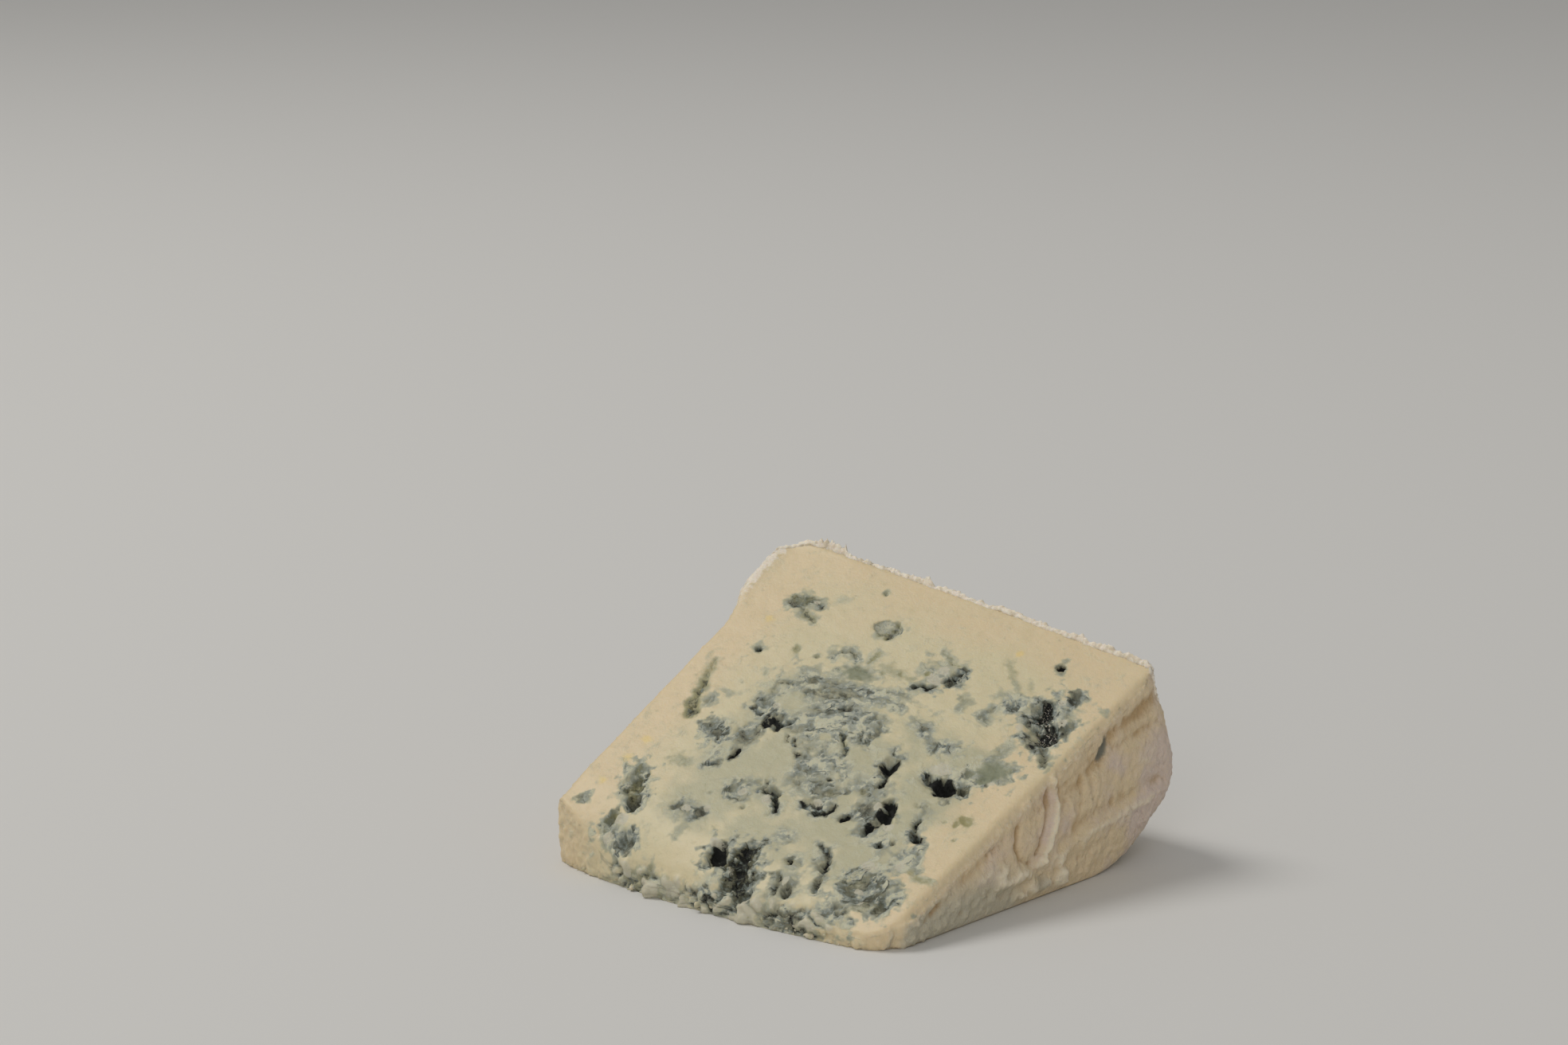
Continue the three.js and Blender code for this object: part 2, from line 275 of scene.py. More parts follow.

# ---- Mould pockets, cracks and veins in the cut ----
# Blue mould grew where air got in between the curds: in open pockets, which are dark inside, and
# as a blue-grey bloom that marbles the paste round them. The places are listed on the
# cut face, and noise gives each its broken outline.

# across, along, length across, length along, turn, depth, darkness, mould, olive
POCKETS = (
    (31.6, 58.6, 6.2, 6.4, -20, 2.4, 0.92, 0.9, 0.1),
    (35.2, 54.8, 6.2, 7.4, 35, 2.8, 0.95, 0.9, 0.1),
    (38.4, 57.0, 2.6, 5.4, -10, 1.0, 0.35, 0.95, 0.3),
    (34.8, 64.6, 2.8, 4.0, 15, 1.4, 0.5, 0.95, 0.1),
    (25.6, 58.0, 3.6, 3.6, 20, 0.8, 0.28, 0.9, 0.0),
    (26.8, 33.4, 7.0, 4.0, -12, 3.6, 1.2, 0.7, 0.1),
    (23.0, 33.8, 3.0, 1.6, -20, 1.2, 0.8, 0.8, 0.2),
    (31.0, 34.6, 2.6, 3.4, 30, 1.6, 0.55, 0.9, 0.6),
    (33.0, 41.2, 7.0, 4.8, 12, 0.4, 0.06, 0.7, 0.5),
    (32.6, 38.6, 3.6, 2.8, 40, 0.5, 0.12, 0.95, 0.3),
    (29.2, 38.2, 2.2, 2.6, 0, 0.9, 0.35, 0.8, 1.0),
    (-1.4, 0.6, 5.0, 4.6, -30, 3.0, 1.2, 0.8, 0.1),
    (3.2, 1.8, 5.4, 7.6, -25, 2.0, 0.85, 1.0, 1.0),
    (6.8, -2.2, 4.6, 7.4, -38, 1.6, 0.8, 1.0, 0.8),
    (4.8, -0.2, 5.2, 6.0, -30, 1.9, 0.85, 1.0, 1.0),
    (9.4, -4.4, 2.8, 4.0, -30, 1.4, 0.6, 1.0, 0.2),
    (14.0, 33.2, 3.6, 4.6, 10, 2.4, 1.1, 0.7, 0.2),
    (-31.8, 60.0, 4.4, 2.4, -8, 0.9, 0.1, 0.8, 0.9),
    (10.4, 57.4, 2.6, 5.2, -14, 1.7, 0.28, 1.0, 0.2),
    (-29.8, 8.0, 4.6, 7.0, 25, 1.6, 0.55, 1.0, 1.2),
    (-26.4, 3.8, 4.0, 4.0, 0, 2.0, 0.6, 0.95, 0.4),
    (-29.0, -0.6, 2.4, 5.0, -15, 1.2, 0.3, 0.95, 1.5),
    (-23.4, -2.6, 4.4, 3.4, 0, 1.6, 0.65, 0.95, 0.3),
    (-17.6, 7.0, 2.6, 2.2, 20, 1.0, 0.42, 0.85, 0.1),
    (-12.0, 7.0, 2.4, 3.4, -30, 0.9, 0.42, 0.85, 0.1),
    (-9.4, 14.6, 4.4, 3.8, 12, 0.7, 0.1, 0.8, 0.3),
    (31.6, 5.6, 9.6, 7.4, -12, 1.0, 0.4, 0.95, 0.6),
    (36.8, 4.4, 3.6, 5.6, 20, 1.3, 0.5, 0.95, 0.6),
    (-24.2, 25.2, 5.4, 4.0, -30, 0.7, 0.24, 0.95, 0.4),
    (-18.8, 34.2, 5.4, 4.2, 0, 0.6, 0.22, 0.9, 0.1),
    (-17.6, 27.4, 3.0, 5.4, 20, 0.6, 0.2, 0.8, 0.1),
    (29.4, 7.6, 2.4, 1.8, 0, 1.5, 0.5, 0.95, 0.1),
    (17.2, -0.8, 1.8, 2.8, 30, 1.8, 0.75, 0.9, 0.2),
    (-16.2, 22.2, 1.4, 2.6, 0, 1.9, 1.0, 0.8, 0.0),
    (31.4, 20.3, 3.2, 2.0, -10, 2.4, 1.0, 0.7, 0.1),
    (22.3, 22.6, 3.2, 3.6, 30, 2.2, 1.1, 0.7, 0.1),
    (21.5, 18.2, 2.0, 2.4, 0, 2.0, 0.95, 0.8, 0.1),
    (26.2, 15.7, 2.0, 1.6, 0, 1.4, 0.8, 0.8, 0.0),
    (-37.7, 1.2, 2.4, 2.2, 0, 0.4, 0.08, 0.7, 0.3),
)

# path of (across, along), width, depth, darkness, olive
CRACKS = (
    (((20.4, 25.4), (21.6, 24.2), (22.6, 22.4)), 1.6, 2.4, 1.0, 0.1),
    (((22.4, 21.4), (21.4, 19.6), (21.4, 16.8)), 1.3, 1.8, 0.9, 0.1),
    (((28.7, 23.8), (29.4, 21.6), (30.8, 20.2)), 1.2, 1.6, 0.9, 0.1),
    (((25.7, 27.2), (27.4, 27.9), (28.6, 26.4), (28.6, 23.8)), 0.8, 0.5, 0.4, 0.3),
    (((14.6, 31.4), (15.0, 30.2), (15.7, 28.2)), 1.2, 1.4, 0.9, 0.2),
    (((12.4, 36.8), (13.6, 35.6), (15.2, 36.2)), 0.9, 0.5, 0.6, 0.3),
    (((-5.0, 16.4), (-4.6, 18.2), (-5.2, 19.2)), 0.8, 0.6, 0.65, 0.3),
    (((-4.0, 17.3), (-2.6, 18.0), (-0.9, 17.3), (0.0, 15.8), (1.3, 13.8)), 1.3, 1.5, 1.0, 0.1),
    (((-11.3, 14.0), (-10.8, 16.2), (-8.5, 17.2), (-6.0, 17.8)), 0.8, 0.5, 0.35, 0.5),
    (((-9.8, 13.3), (-7.6, 12.6), (-6.0, 13.6)), 0.9, 0.6, 0.6, 0.2),
    (((15.8, 10.9), (18.0, 9.8), (20.0, 8.0), (20.3, 6.2)), 1.3, 1.5, 0.8, 0.2),
    (((20.6, 6.6), (21.4, 4.2), (22.9, 1.4)), 1.0, 1.2, 0.75, 0.2),
    (((13.9, 2.1), (14.2, 0.0), (15.1, -2.1)), 0.8, 0.8, 0.6, 0.2),
    (((4.7, 51.9), (5.6, 52.9), (7.2, 53.0), (8.0, 54.0)), 0.9, 1.1, 1.0, 0.0),
    (((8.7, 56.0), (9.4, 58.2), (10.8, 60.0)), 0.6, 1.2, 0.7, 0.1),
    (((3.5, 62.4), (6.0, 61.2), (8.0, 61.0), (11.0, 61.2)), 0.6, 0.25, 0.4, 0.7),
    (((0.7, 48.7), (2.9, 49.4), (4.8, 49.1)), 0.9, 0.5, 0.45, 0.3),
    (((22.9, 55.0), (21.9, 53.6), (21.6, 51.6)), 0.7, 0.5, 0.45, 0.3),
    (((22.0, 52.4), (23.4, 51.6)), 0.7, 0.4, 0.3, 0.3),
    (((-37.6, 39.5), (-36.4, 37.4), (-35.8, 35.0)), 0.8, 0.5, 0.4, 0.8),
    (((-35.6, 34.0), (-34.8, 31.4), (-33.6, 29.0)), 1.3, 0.9, 0.55, 0.9),
    (((-33.6, 28.8), (-32.6, 27.2)), 2.2, 1.1, 0.6, 0.9),
    (((-31.9, 30.2), (-31.0, 31.6), (-30.4, 30.8)), 0.7, 0.3, 0.35, 0.4),
    (((-20.5, 40.6), (-18.9, 41.4), (-17.2, 41.7)), 0.9, 0.5, 0.6, 0.2),
    (((-17.2, 41.9), (-16.2, 43.4), (-14.8, 44.6)), 0.7, 0.4, 0.4, 0.2),
    (((-15.9, 31.2), (-14.9, 32.6), (-13.6, 31.4)), 1.9, 1.3, 1.0, 0.1),
    (((-13.4, 31.6), (-12.6, 32.6), (-11.2, 33.4)), 1.4, 1.0, 0.9, 0.1),
    (((-15.7, 51.2), (-15.2, 53.2), (-13.0, 53.4), (-10.5, 52.4)), 0.6, 0.35, 0.55, 0.3),
    (((-8.2, 53.2), (-8.1, 55.4)), 0.6, 0.25, 0.3, 1.3),
    (((-20.3, 17.2), (-18.5, 18.8)), 1.1, 0.9, 0.75, 0.1),
    (((-17.5, 22.9), (-15.6, 24.6), (-15.0, 28.0), (-16.4, 29.6)), 0.7, 0.4, 0.4, 0.2),
    (((-20.8, 35.5), (-19.8, 37.6), (-20.6, 39.4)), 0.8, 0.4, 0.4, 0.3),
    (((-12.1, 42.2), (-8.1, 43.7), (-5.0, 43.6)), 0.7, 0.4, 0.4, 0.3),
    (((-9.8, 36.1), (-7.6, 38.4), (-5.2, 39.4)), 0.7, 0.3, 0.45, 0.2),
    (((-16.2, 43.8), (-13.0, 44.8), (-10.0, 45.8)), 0.7, 0.4, 0.45, 0.1),
    (((-14.4, 41.0), (-11.6, 41.4), (-8.8, 42.2)), 0.7, 0.4, 0.45, 0.1),
    (((-4.8, 41.0), (-3.0, 41.4)), 1.3, 0.5, 0.6, 0.1),
    (((-20.8, 33.2), (-19.2, 32.6)), 1.5, 0.6, 0.7, 0.1),
    (((-17.4, 33.6), (-16.6, 32.0)), 0.8, 0.6, 0.7, 0.1),
    (((3.6, 39.2), (3.8, 37.2), (4.4, 35.8)), 0.8, 0.5, 0.7, 0.3),
    (((5.4, 38.2), (6.4, 36.6), (6.6, 35.2)), 0.8, 0.5, 0.7, 0.3),
    (((-9.8, 30.4), (-8.6, 28.8)), 0.9, 0.5, 0.6, 0.4),
    (((-7.9, 30.4), (-7.2, 28.8)), 0.8, 0.6, 0.8, 0.1),
    (((-5.6, 27.6), (-4.4, 27.0)), 0.9, 0.6, 0.8, 0.1),
    (((-23.6, 26.0), (-22.6, 23.8), (-21.4, 22.8)), 1.1, 0.5, 0.65, 0.3),
    (((-18.6, 27.2), (-17.6, 26.2)), 0.9, 0.5, 0.6, 0.1),
    (((-16.2, 29.2), (-15.4, 27.4)), 0.9, 0.5, 0.5, 0.1),
    (((8.4, 22.0), (10.2, 23.8), (11.8, 24.2)), 0.8, 0.5, 0.55, 0.2),
    (((-10.6, 32.4), (-8.2, 32.2), (-6.4, 33.4)), 0.7, 0.3, 0.35, 0.2),
    (((0.2, 36.0), (1.4, 34.0), (3.4, 32.6), (4.2, 30.8)), 1.2, 0.7, 0.75, 0.6),
    (((4.6, 35.4), (6.4, 36.4), (6.8, 39.6), (5.0, 41.0)), 0.9, 0.5, 0.55, 0.3),
    (((2.2, 42.6), (3.4, 41.6), (2.4, 40.8)), 0.7, 0.3, 0.4, 0.2),
    (((-2.0, 25.4), (-0.8, 22.4), (2.4, 20.6), (6.5, 20.9)), 0.7, 0.3, 0.3, 0.2),
    (((5.9, 17.8), (8.4, 18.2), (9.8, 17.5)), 1.8, 1.3, 0.9, 0.1),
    (((9.6, 17.6), (11.2, 18.2), (11.3, 19.6)), 1.6, 1.6, 1.0, 0.1),
    (((-33.8, 58.4), (-31.4, 58.6), (-29.6, 57.6)), 0.8, 0.5, 0.6, 0.3),
    (((-29.4, 58.0), (-27.8, 57.0), (-26.4, 56.6)), 1.0, 0.6, 0.5, 0.6),
    (((-28.4, 61.0), (-27.2, 60.4)), 0.8, 0.4, 0.6, 0.1),
    (((37.9, 50.8), (39.0, 49.8), (39.8, 48.6)), 1.6, 1.2, 0.6, 0.1),
    (((39.6, 49.0), (40.6, 47.6)), 0.8, 0.6, 0.6, 0.0),
    (((30.4, 45.2), (31.2, 46.8), (31.8, 48.4)), 0.7, 0.15, 0.12, 0.4),
    (((15.6, -6.0), (20.1, -4.4), (22.0, -5.6), (24.0, -3.6)), 1.0, 0.7, 0.6, 0.1),
    (((-20.0, -7.0), (-16.6, -7.6), (-14.8, -6.0)), 1.4, 0.8, 0.5, 0.6),
    (((26.6, -3.0), (27.6, -0.6), (30.0, 0.8)), 1.2, 0.6, 0.4, 0.2),
    (((36.2, 13.0), (38.6, 12.0), (40.6, 12.6)), 0.9, 0.2, 0.1, 0.8),
    (((31.4, 12.4), (32.6, 16.0), (34.0, 18.4)), 0.8, 0.4, 0.3, 0.2),
    (((34.6, 17.4), (36.4, 14.6), (37.6, 13.4)), 0.8, 0.4, 0.3, 0.2),
    (((14.9, 54.4), (16.6, 54.0), (16.4, 51.6)), 0.6, 0.2, 0.16, 0.5),
    (((-9.4, 64.2), (-8.8, 62.6), (-9.6, 61.2), (-9.0, 60.2)), 1.1, 1.6, 0.7, 0.9),
    (((-9.6, 61.0), (-11.2, 60.2)), 0.8, 1.2, 0.5, 0.8),
)

# across, along, width, depth, darkness, olive
SPOTS = (
    (27.2, 70.4, 2.0, 2.2, 1.3, 0.0),
    (-31.2, 45.6, 1.7, 2.0, 1.3, 0.1),
    (15.3, 18.5, 1.7, 1.6, 1.0, 0.0),
    (28.2, 17.4, 1.0, 0.7, 0.7, 0.0),
    (5.9, 24.9, 1.0, 1.0, 0.95, 0.1),
    (-17.3, 69.4, 1.2, 0.7, 0.45, 0.7),
    (-23.8, 49.3, 1.5, 0.3, 0.34, 0.8),
    (-18.5, 49.5, 1.1, 0.4, 0.4, 0.4),
    (-25.3, 41.2, 1.0, 0.2, 0.2, 0.8),
    (-26.6, 22.4, 1.0, 0.3, 0.3, 0.5),
    (13.4, 5.0, 1.7, 1.1, 0.7, 0.4),
    (-5.1, 11.8, 1.0, 0.4, 0.4, 0.3),
    (37.0, 28.2, 2.2, 0.5, 0.14, 1.8),
    (36.0, 27.0, 1.4, 0.3, 0.1, 1.2),
    (33.4, 26.3, 0.9, 0.2, 0.05, 1.0),
    (38.3, 23.3, 1.0, 0.2, 0.1, 0.9),
    (0.0, 53.4, 1.2, 0.3, 0.24, 0.9),
    (-3.5, 52.0, 1.0, 0.3, 0.24, 0.8),
    (4.5, 56.2, 1.0, 0.3, 0.1, 1.6),
    (-7.5, 29.5, 1.0, 0.4, 0.6, 0.1),
    (-4.7, 27.3, 1.0, 0.4, 0.6, 0.1),
    (14.0, 25.5, 1.2, 0.5, 0.4, 0.8),
    (-13.8, 12.2, 0.9, 0.2, 0.2, 0.5),
    (8.2, 22.6, 1.2, 0.5, 0.4, 0.6),
    (-22.4, 25.4, 1.0, 0.3, 0.45, 0.0),
    (-24.6, 23.4, 0.9, 0.3, 0.4, 0.1),
    (13.6, 43.8, 1.6, 0.4, 0.45, 0.0),
    (20.6, 42.4, 1.2, 0.3, 0.35, 0.0),
    (-7.8, 44.2, 0.8, 0.3, 0.5, 0.0),
)

# across, along, length across, length along, turn, strength, olive
MOULD_PATCHES = (
    (-6.0, 45.4, 26.0, 6.8, 6, 0.8, 0.0),
    (-7.6, 49.8, 9.0, 5.0, 0, 0.6, 0.1),
    (-17.0, 41.0, 8.0, 5.0, 40, 0.66, 0.0),
    (-3.0, 39.6, 26.0, 9.0, 0, 0.86, 0.2),
    (-4.0, 34.0, 17.0, 10.0, 0, 0.84, 0.2),
    (1.0, 27.0, 10.0, 11.0, 20, 0.8, 0.1),
    (4.0, 37.6, 11.0, 11.0, 0, 0.8, 0.3),
    (-18.4, 34.4, 7.4, 9.0, 0, 0.88, 0.0),
    (-13.0, 33.0, 7.0, 4.6, 0, 0.74, 0.1),
    (-24.2, 25.2, 6.0, 5.2, -30, 0.9, 0.0),
    (-17.6, 26.6, 6.0, 9.0, 20, 0.84, 0.0),
    (-20.0, 20.6, 4.0, 6.0, 0, 0.55, 0.0),
    (-1.0, 25.0, 5.4, 9.0, 10, 0.7, 0.0),
    (5.4, 22.4, 14.0, 7.4, 0, 0.8, 0.2),
    (5.0, 28.6, 12.0, 6.0, 0, 0.7, 0.3),
    (-6.0, 30.0, 9.0, 5.0, -20, 0.66, 0.1),
    (11.6, 44.6, 6.0, 3.4, -20, 0.6, 0.1),
    (14.0, 43.8, 4.6, 3.6, 0, 0.95, 0.0),
    (20.6, 42.0, 7.4, 4.2, 10, 0.95, 0.0),
    (15.0, 27.0, 9.0, 6.0, 0, 0.75, 0.3),
    (18.4, 21.6, 7.4, 7.0, 0, 0.95, 0.0),
    (21.0, 17.4, 6.0, 5.0, 0, 0.95, 0.0),
    (26.6, 16.0, 5.0, 4.6, 0, 0.8, 0.0),
    (33.2, 15.2, 5.4, 5.4, -30, 0.9, 0.0),
    (32.4, 12.6, 3.6, 3.4, -30, 0.6, 0.0),
    (33.0, 5.6, 12.4, 9.0, -10, 0.86, 0.3),
    (29.0, -1.6, 7.0, 4.6, 0, 0.8, 0.0),
    (25.6, 58.0, 4.4, 4.6, 20, 0.8, 0.0),
    (33.8, 58.0, 12.0, 12.6, 0, 0.62, 0.1),
    (7.0, 57.0, 9.0, 8.0, -10, 0.6, 0.2),
    (-1.0, 53.4, 10.0, 3.0, 0, 0.4, 1.0),
    (-8.6, 15.0, 7.4, 5.4, 10, 0.76, 0.5),
    (-2.4, 16.4, 5.0, 4.0, 0, 0.6, 0.2),
    (-15.0, 6.8, 9.0, 4.6, 0, 0.74, 0.1),
    (-12.4, 3.0, 2.6, 4.6, -10, 0.6, 0.8),
    (-29.4, 6.6, 6.4, 10.0, 18, 0.8, 0.6),
    (-26.0, -2.6, 8.0, 6.0, 0, 0.76, 0.4),
    (3.6, 0.6, 10.0, 11.0, -30, 0.6, 0.3),
    (16.4, 0.2, 6.0, 7.0, 0, 0.8, 0.1),
    (19.6, 7.0, 4.6, 9.0, 30, 0.66, 0.0),
    (-31.0, 60.0, 7.4, 5.4, -10, 0.6, 0.6),
    (19.0, 64.8, 7.0, 2.0, -40, 0.4, 0.9),
    (22.4, 62.0, 6.0, 1.8, -35, 0.42, 0.9),
    (25.0, 63.6, 5.0, 1.4, -50, 0.36, 0.7),
    (22.8, 58.6, 5.0, 4.0, 0, 0.46, 0.5),
    (-35.2, 33.0, 4.0, 13.0, 18, 0.36, 1.0),
    (36.6, 28.2, 3.6, 3.4, 0, 0.2, 1.3),
    (-37.7, 1.2, 3.0, 2.8, 0, 0.62, 0.1),
    (-24.8, 16.2, 7.0, 3.4, 0, 0.4, 0.9),
    (39.0, 49.4, 3.6, 3.6, -45, 0.66, 0.0),
    (32.6, 41.0, 8.4, 5.6, 12, 0.6, 0.4),
    (26.4, 35.4, 10.0, 7.0, 0, 0.6, 0.2),
    (9.2, 18.4, 7.0, 3.6, 10, 0.74, 0.0),
    (15.2, 18.6, 3.2, 3.0, 0, 0.66, 0.0),
    (29.4, 23.0, 4.0, 6.0, 0, 0.5, 0.1),
    (-24.0, 63.4, 3.6, 2.0, 30, 0.42, 0.1),
    (7.8, 9.6, 5.4, 4.0, 0, 0.7, 0.1),
    (14.4, 5.0, 5.0, 4.0, 0, 0.7, 0.2),
    (27.2, 70.6, 4.0, 3.2, 0, 0.6, 0.0),
    (-31.4, 45.8, 3.8, 3.4, 0, 0.6, 0.3),
    (14.0, 33.6, 5.4, 6.4, 0, 0.6, 0.1),
    (-28.6, 34.2, 5.0, 1.8, 10, 0.44, 0.2),
    (22.6, 53.2, 3.4, 4.4, 0, 0.56, 0.2),
    (16.2, 53.0, 3.0, 3.6, 0, 0.4, 0.4),
    (-13.4, 52.8, 6.4, 2.6, 0, 0.44, 0.4),
    (2.6, 48.6, 6.0, 3.0, 0, 0.6, 0.1),
    (-14.0, -8.0, 22.0, 5.0, 0, 0.6, 0.2),
    (6.0, -8.0, 20.0, 6.0, 0, 0.66, 0.1),
    (20.0, -6.0, 16.0, 5.4, 0, 0.76, 0.0),
)

# across, along, length across, length along: soft whitish blobs of young mould
PALE_BLOBS = (
    (23.8, 37.0, 5.0, 3.8),
    (7.0, 55.6, 4.2, 3.4),
    (6.8, 58.2, 3.2, 2.6),
    (-28.6, 60.8, 1.6, 1.2),
    (-26.6, 0.4, 4.4, 3.2),
    (-27.4, -3.4, 2.6, 1.8),
    (-15.4, 7.0, 2.4, 2.2),
    (-11.6, 9.0, 1.6, 1.4),
    (30.2, 5.0, 2.2, 1.2),
    (32.4, 3.0, 1.4, 2.0),
    (35.0, 38.6, 2.2, 1.2),
    (15.7, 0.9, 1.6, 2.8),
    (28.2, 10.6, 4.0, 2.4),
    (-13.4, 32.4, 1.4, 1.2),
    (-17.4, 35.6, 2.2, 1.6),
    (-3.8, 2.8, 3.4, 2.4),
    (-8.0, 15.2, 2.6, 1.8),
    (-2.0, 15.6, 2.6, 1.8),
    (36.6, 58.6, 1.8, 2.4),
    (30.0, 53.4, 2.4, 2.2),
    (33.2, 63.0, 1.8, 2.0),
    (7.8, 19.4, 2.2, 1.6),
    (33.4, 13.6, 2.6, 3.0),
    (19.2, 23.6, 2.2, 2.2),
    (24.8, 20.4, 2.6, 2.4),
    (12.0, -6.6, 3.4, 2.0),
    (-8.0, -6.8, 4.0, 2.0),
)

# across, along, length across, length along, turn: clean paste left inside the marbling
CLEAN_PASTE = (
    (-15.2, 37.4, 6.4, 3.0, 10),
    (-9.6, 24.6, 8.0, 8.0, 0),
    (8.8, 38.0, 5.0, 3.6, 30),
    (7.4, 32.4, 5.0, 2.6, -20),
    (-12.4, 29.6, 4.0, 2.4, 0),
    (10.4, 41.4, 6.0, 2.4, 0),
    (-2.6, 33.4, 3.0, 2.2, 0),
    (18.4, 36.6, 4.4, 4.0, 0),
    (12.6, 22.4, 3.6, 3.0, 0),
    (-25.6, 30.6, 5.0, 3.0, 0),
    (24.6, 26.4, 3.6, 4.4, 0),
    (-6.4, 9.8, 9.0, 4.0, 0),
)

# across, along, width: small butter-yellow or orange specks
WARM_SPECKS = (
    (-36.1, 17.5, 2.6), (-36.3, 12.2, 2.0), (-36.6, 5.8, 1.8), (-34.7, 53.0, 2.4), (17.4, 69.4, 1.8),
)

# across, along, length across, length along, turn: smooth grey-green films of mould
FILMS = ((33.0, 41.4, 7.0, 5.0, 12), (33.0, 38.8, 3.4, 2.4, 40), (-8.0, 49.6, 7.0, 3.6, 0))

# One clean round eye, whose floor slopes down to its left
EYE_MIDDLE, EYE_SIZE, EYE_TURN, EYE_DEPTH = (-10.5, 62.1), (6.6, 4.1), 8, 1.0

# across, along, width: where crystals glint in the dark, painted as small highlights
GLINTS = ((32.0, 58.4, 6.6), (35.0, 54.6, 5.0))


def oval_reach(middle, size, turn=0):
    """Distance from an oval's middle on the cut face, which is 1 at its outline."""
    angle = math.radians(turn)
    off_across = across - middle[0]
    off_along = along - middle[1]
    part_across = off_across * math.cos(angle) + off_along * math.sin(angle)
    part_along = off_along * math.cos(angle) - off_across * math.sin(angle)
    return np.hypot(part_across / (size[0] / 2), part_along / (size[1] / 2))


def path_distance(first, second, path):
    """Distance from the nearest of a path's straight lines."""
    nearest = np.full(len(first), np.inf)
    for (start_first, start_second), (end_first, end_second) in zip(path, path[1:]):
        run_first, run_second = end_first - start_first, end_second - start_second
        share = (first - start_first) * run_first + (second - start_second) * run_second
        share = np.clip(share / (run_first ** 2 + run_second ** 2), 0, 1)
        gap = np.hypot(first - start_first - share * run_first, second - start_second - share * run_second)
        nearest = np.minimum(nearest, gap)
    return nearest


lumps = rough(points, 2.4, 11, 3)
crumbs = rough(points, 1.2, 17, 2)
uneven = np.exp(0.5 * lumps + 0.3 * crumbs)
soft_uneven = np.exp(0.45 * rough(points, 2.6, 11, 1))
shift_across = rough(points, 5.0, 23, 3)
shift_along = rough(points, 5.0, 31, 3)
wander_across = across + 0.4 * shift_across + 0.5 * rough(points, 1.7, 37, 2)
wander_along = along + 0.4 * shift_along + 0.5 * rough(points, 1.7, 41, 2)
islands = ease(0.1, 0.5, rough(points, 1.9, 43, 3))

depth, dark, olive, cover, pale, warm, glint, film = np.zeros((8, len(points)))

for mid_across, mid_along, size_across, size_along, turn, deep, darkness, mould, green in POCKETS:
    reach = oval_reach((mid_across, mid_along), (size_across, size_along), turn)
    oval = reach * uneven
    inside = ease(1.18, 0.6, oval)
    island = islands * ease(0.15, 0.6, oval) * inside * (darkness < 1)
    depth = np.maximum(depth, deep * ease(1.3, 0.2, reach * soft_uneven) * (1 - 0.45 * island))
    dark = np.maximum(dark, darkness * inside * (1 - 0.8 * island))
    pale = np.maximum(pale, 0.5 * island * mould)
    cover = np.maximum(cover, mould * ease(2.0, 0.9, oval))
    olive = np.maximum(olive, green * ease(1.5, 0.8, oval))

for path, width, deep, darkness, green in CRACKS:
    reach = path_distance(wander_across, wander_along, path)
    gap = reach * uneven / (width / 2)
    depth = np.maximum(depth, 0.8 * deep * ease(1.6, 0.1, reach * soft_uneven / (width / 2)))
    dark = np.maximum(dark, 1.15 * darkness * ease(1.7, 0.2, gap) * (1 - 0.3 * islands))
    strength = 0.72 - 0.35 * min(green, 1)
    cover = np.maximum(cover, strength * ease(width / 2 + 2, width / 3, reach * uneven))
    olive = np.maximum(olive, green * ease(2.4, 0.9, gap))

for mid_across, mid_along, width, deep, darkness, green in SPOTS:
    oval = oval_reach((mid_across, mid_along), (width, width)) * uneven
    depth = np.maximum(depth, deep * ease(1.2, 0.3, oval))
    dark = np.maximum(dark, darkness * ease(1.2, 0.6, oval))
    cover = np.maximum(cover, (0.66 - 0.4 * min(green, 1)) * ease(2.6, 0.9, oval))
    olive = np.maximum(olive, green * ease(1.6, 0.8, oval))

for mid_across, mid_along, size_across, size_along, turn, strength, green in MOULD_PATCHES:
    oval = oval_reach((mid_across, mid_along), (size_across, size_along), turn) * uneven
    share = ease(1.8, 0.2, oval)
    cover = np.maximum(cover, strength * share)
    olive = np.maximum(olive, 0.6 * green * share)

for mid_across, mid_along, size_across, size_along, turn in CLEAN_PASTE:
    oval = oval_reach((mid_across, mid_along), (size_across, size_along), turn) * uneven ** 0.7
    cover = cover * (1 - 0.85 * ease(1.3, 0.7, oval) * ease(0.5, 0.2, dark))

for mid_across, mid_along, size_across, size_along in PALE_BLOBS:
    oval = oval_reach((mid_across, mid_along), (size_across, size_along)) * uneven ** 0.6
    pale = np.maximum(pale, ease(1.2, 0.5, oval) * (1 - ease(0.5, 0.9, dark)))

for mid_across, mid_along, width in WARM_SPECKS:
    warm = np.maximum(warm, ease(1.2, 0.4, oval_reach((mid_across, mid_along), (width, width)) * uneven))

for mid_across, mid_along, size_across, size_along, turn in FILMS:
    oval = oval_reach((mid_across, mid_along), (size_across, size_along), turn) * uneven ** 0.6
    film = np.maximum(film, ease(1.15, 0.7, oval))

eye = oval_reach(EYE_MIDDLE, EYE_SIZE, EYE_TURN) * (1 + 0.08 * lumps + 0.06 * crumbs)
in_eye = ease(1.05, 0.9, eye)
eye_low = ease(-2.6, 2.4, across - EYE_MIDDLE[0] - 0.7 * (along - EYE_MIDDLE[1]))
depth = np.maximum(depth, EYE_DEPTH * ease(1.06, 0.8, eye) * mix(0.5, 1.0, eye_low))
cover = cover * (1 - in_eye) + in_eye * (0.5 + 0.25 * ease(0.55, 1.0, eye_low + 0.3 * lumps))
# A thin painted shadow lies along the eye's upper left rim.
dark = np.maximum(dark, 0.4 * ease(0.14, 0.03, np.abs(eye - 0.96)) * (1 - eye_low))
pale = np.maximum(pale, 0.45 * in_eye)

for mid_across, mid_along, width in GLINTS:
    glint = np.maximum(glint, ease(1.1, 0.5, oval_reach((mid_across, mid_along), (width, width))))

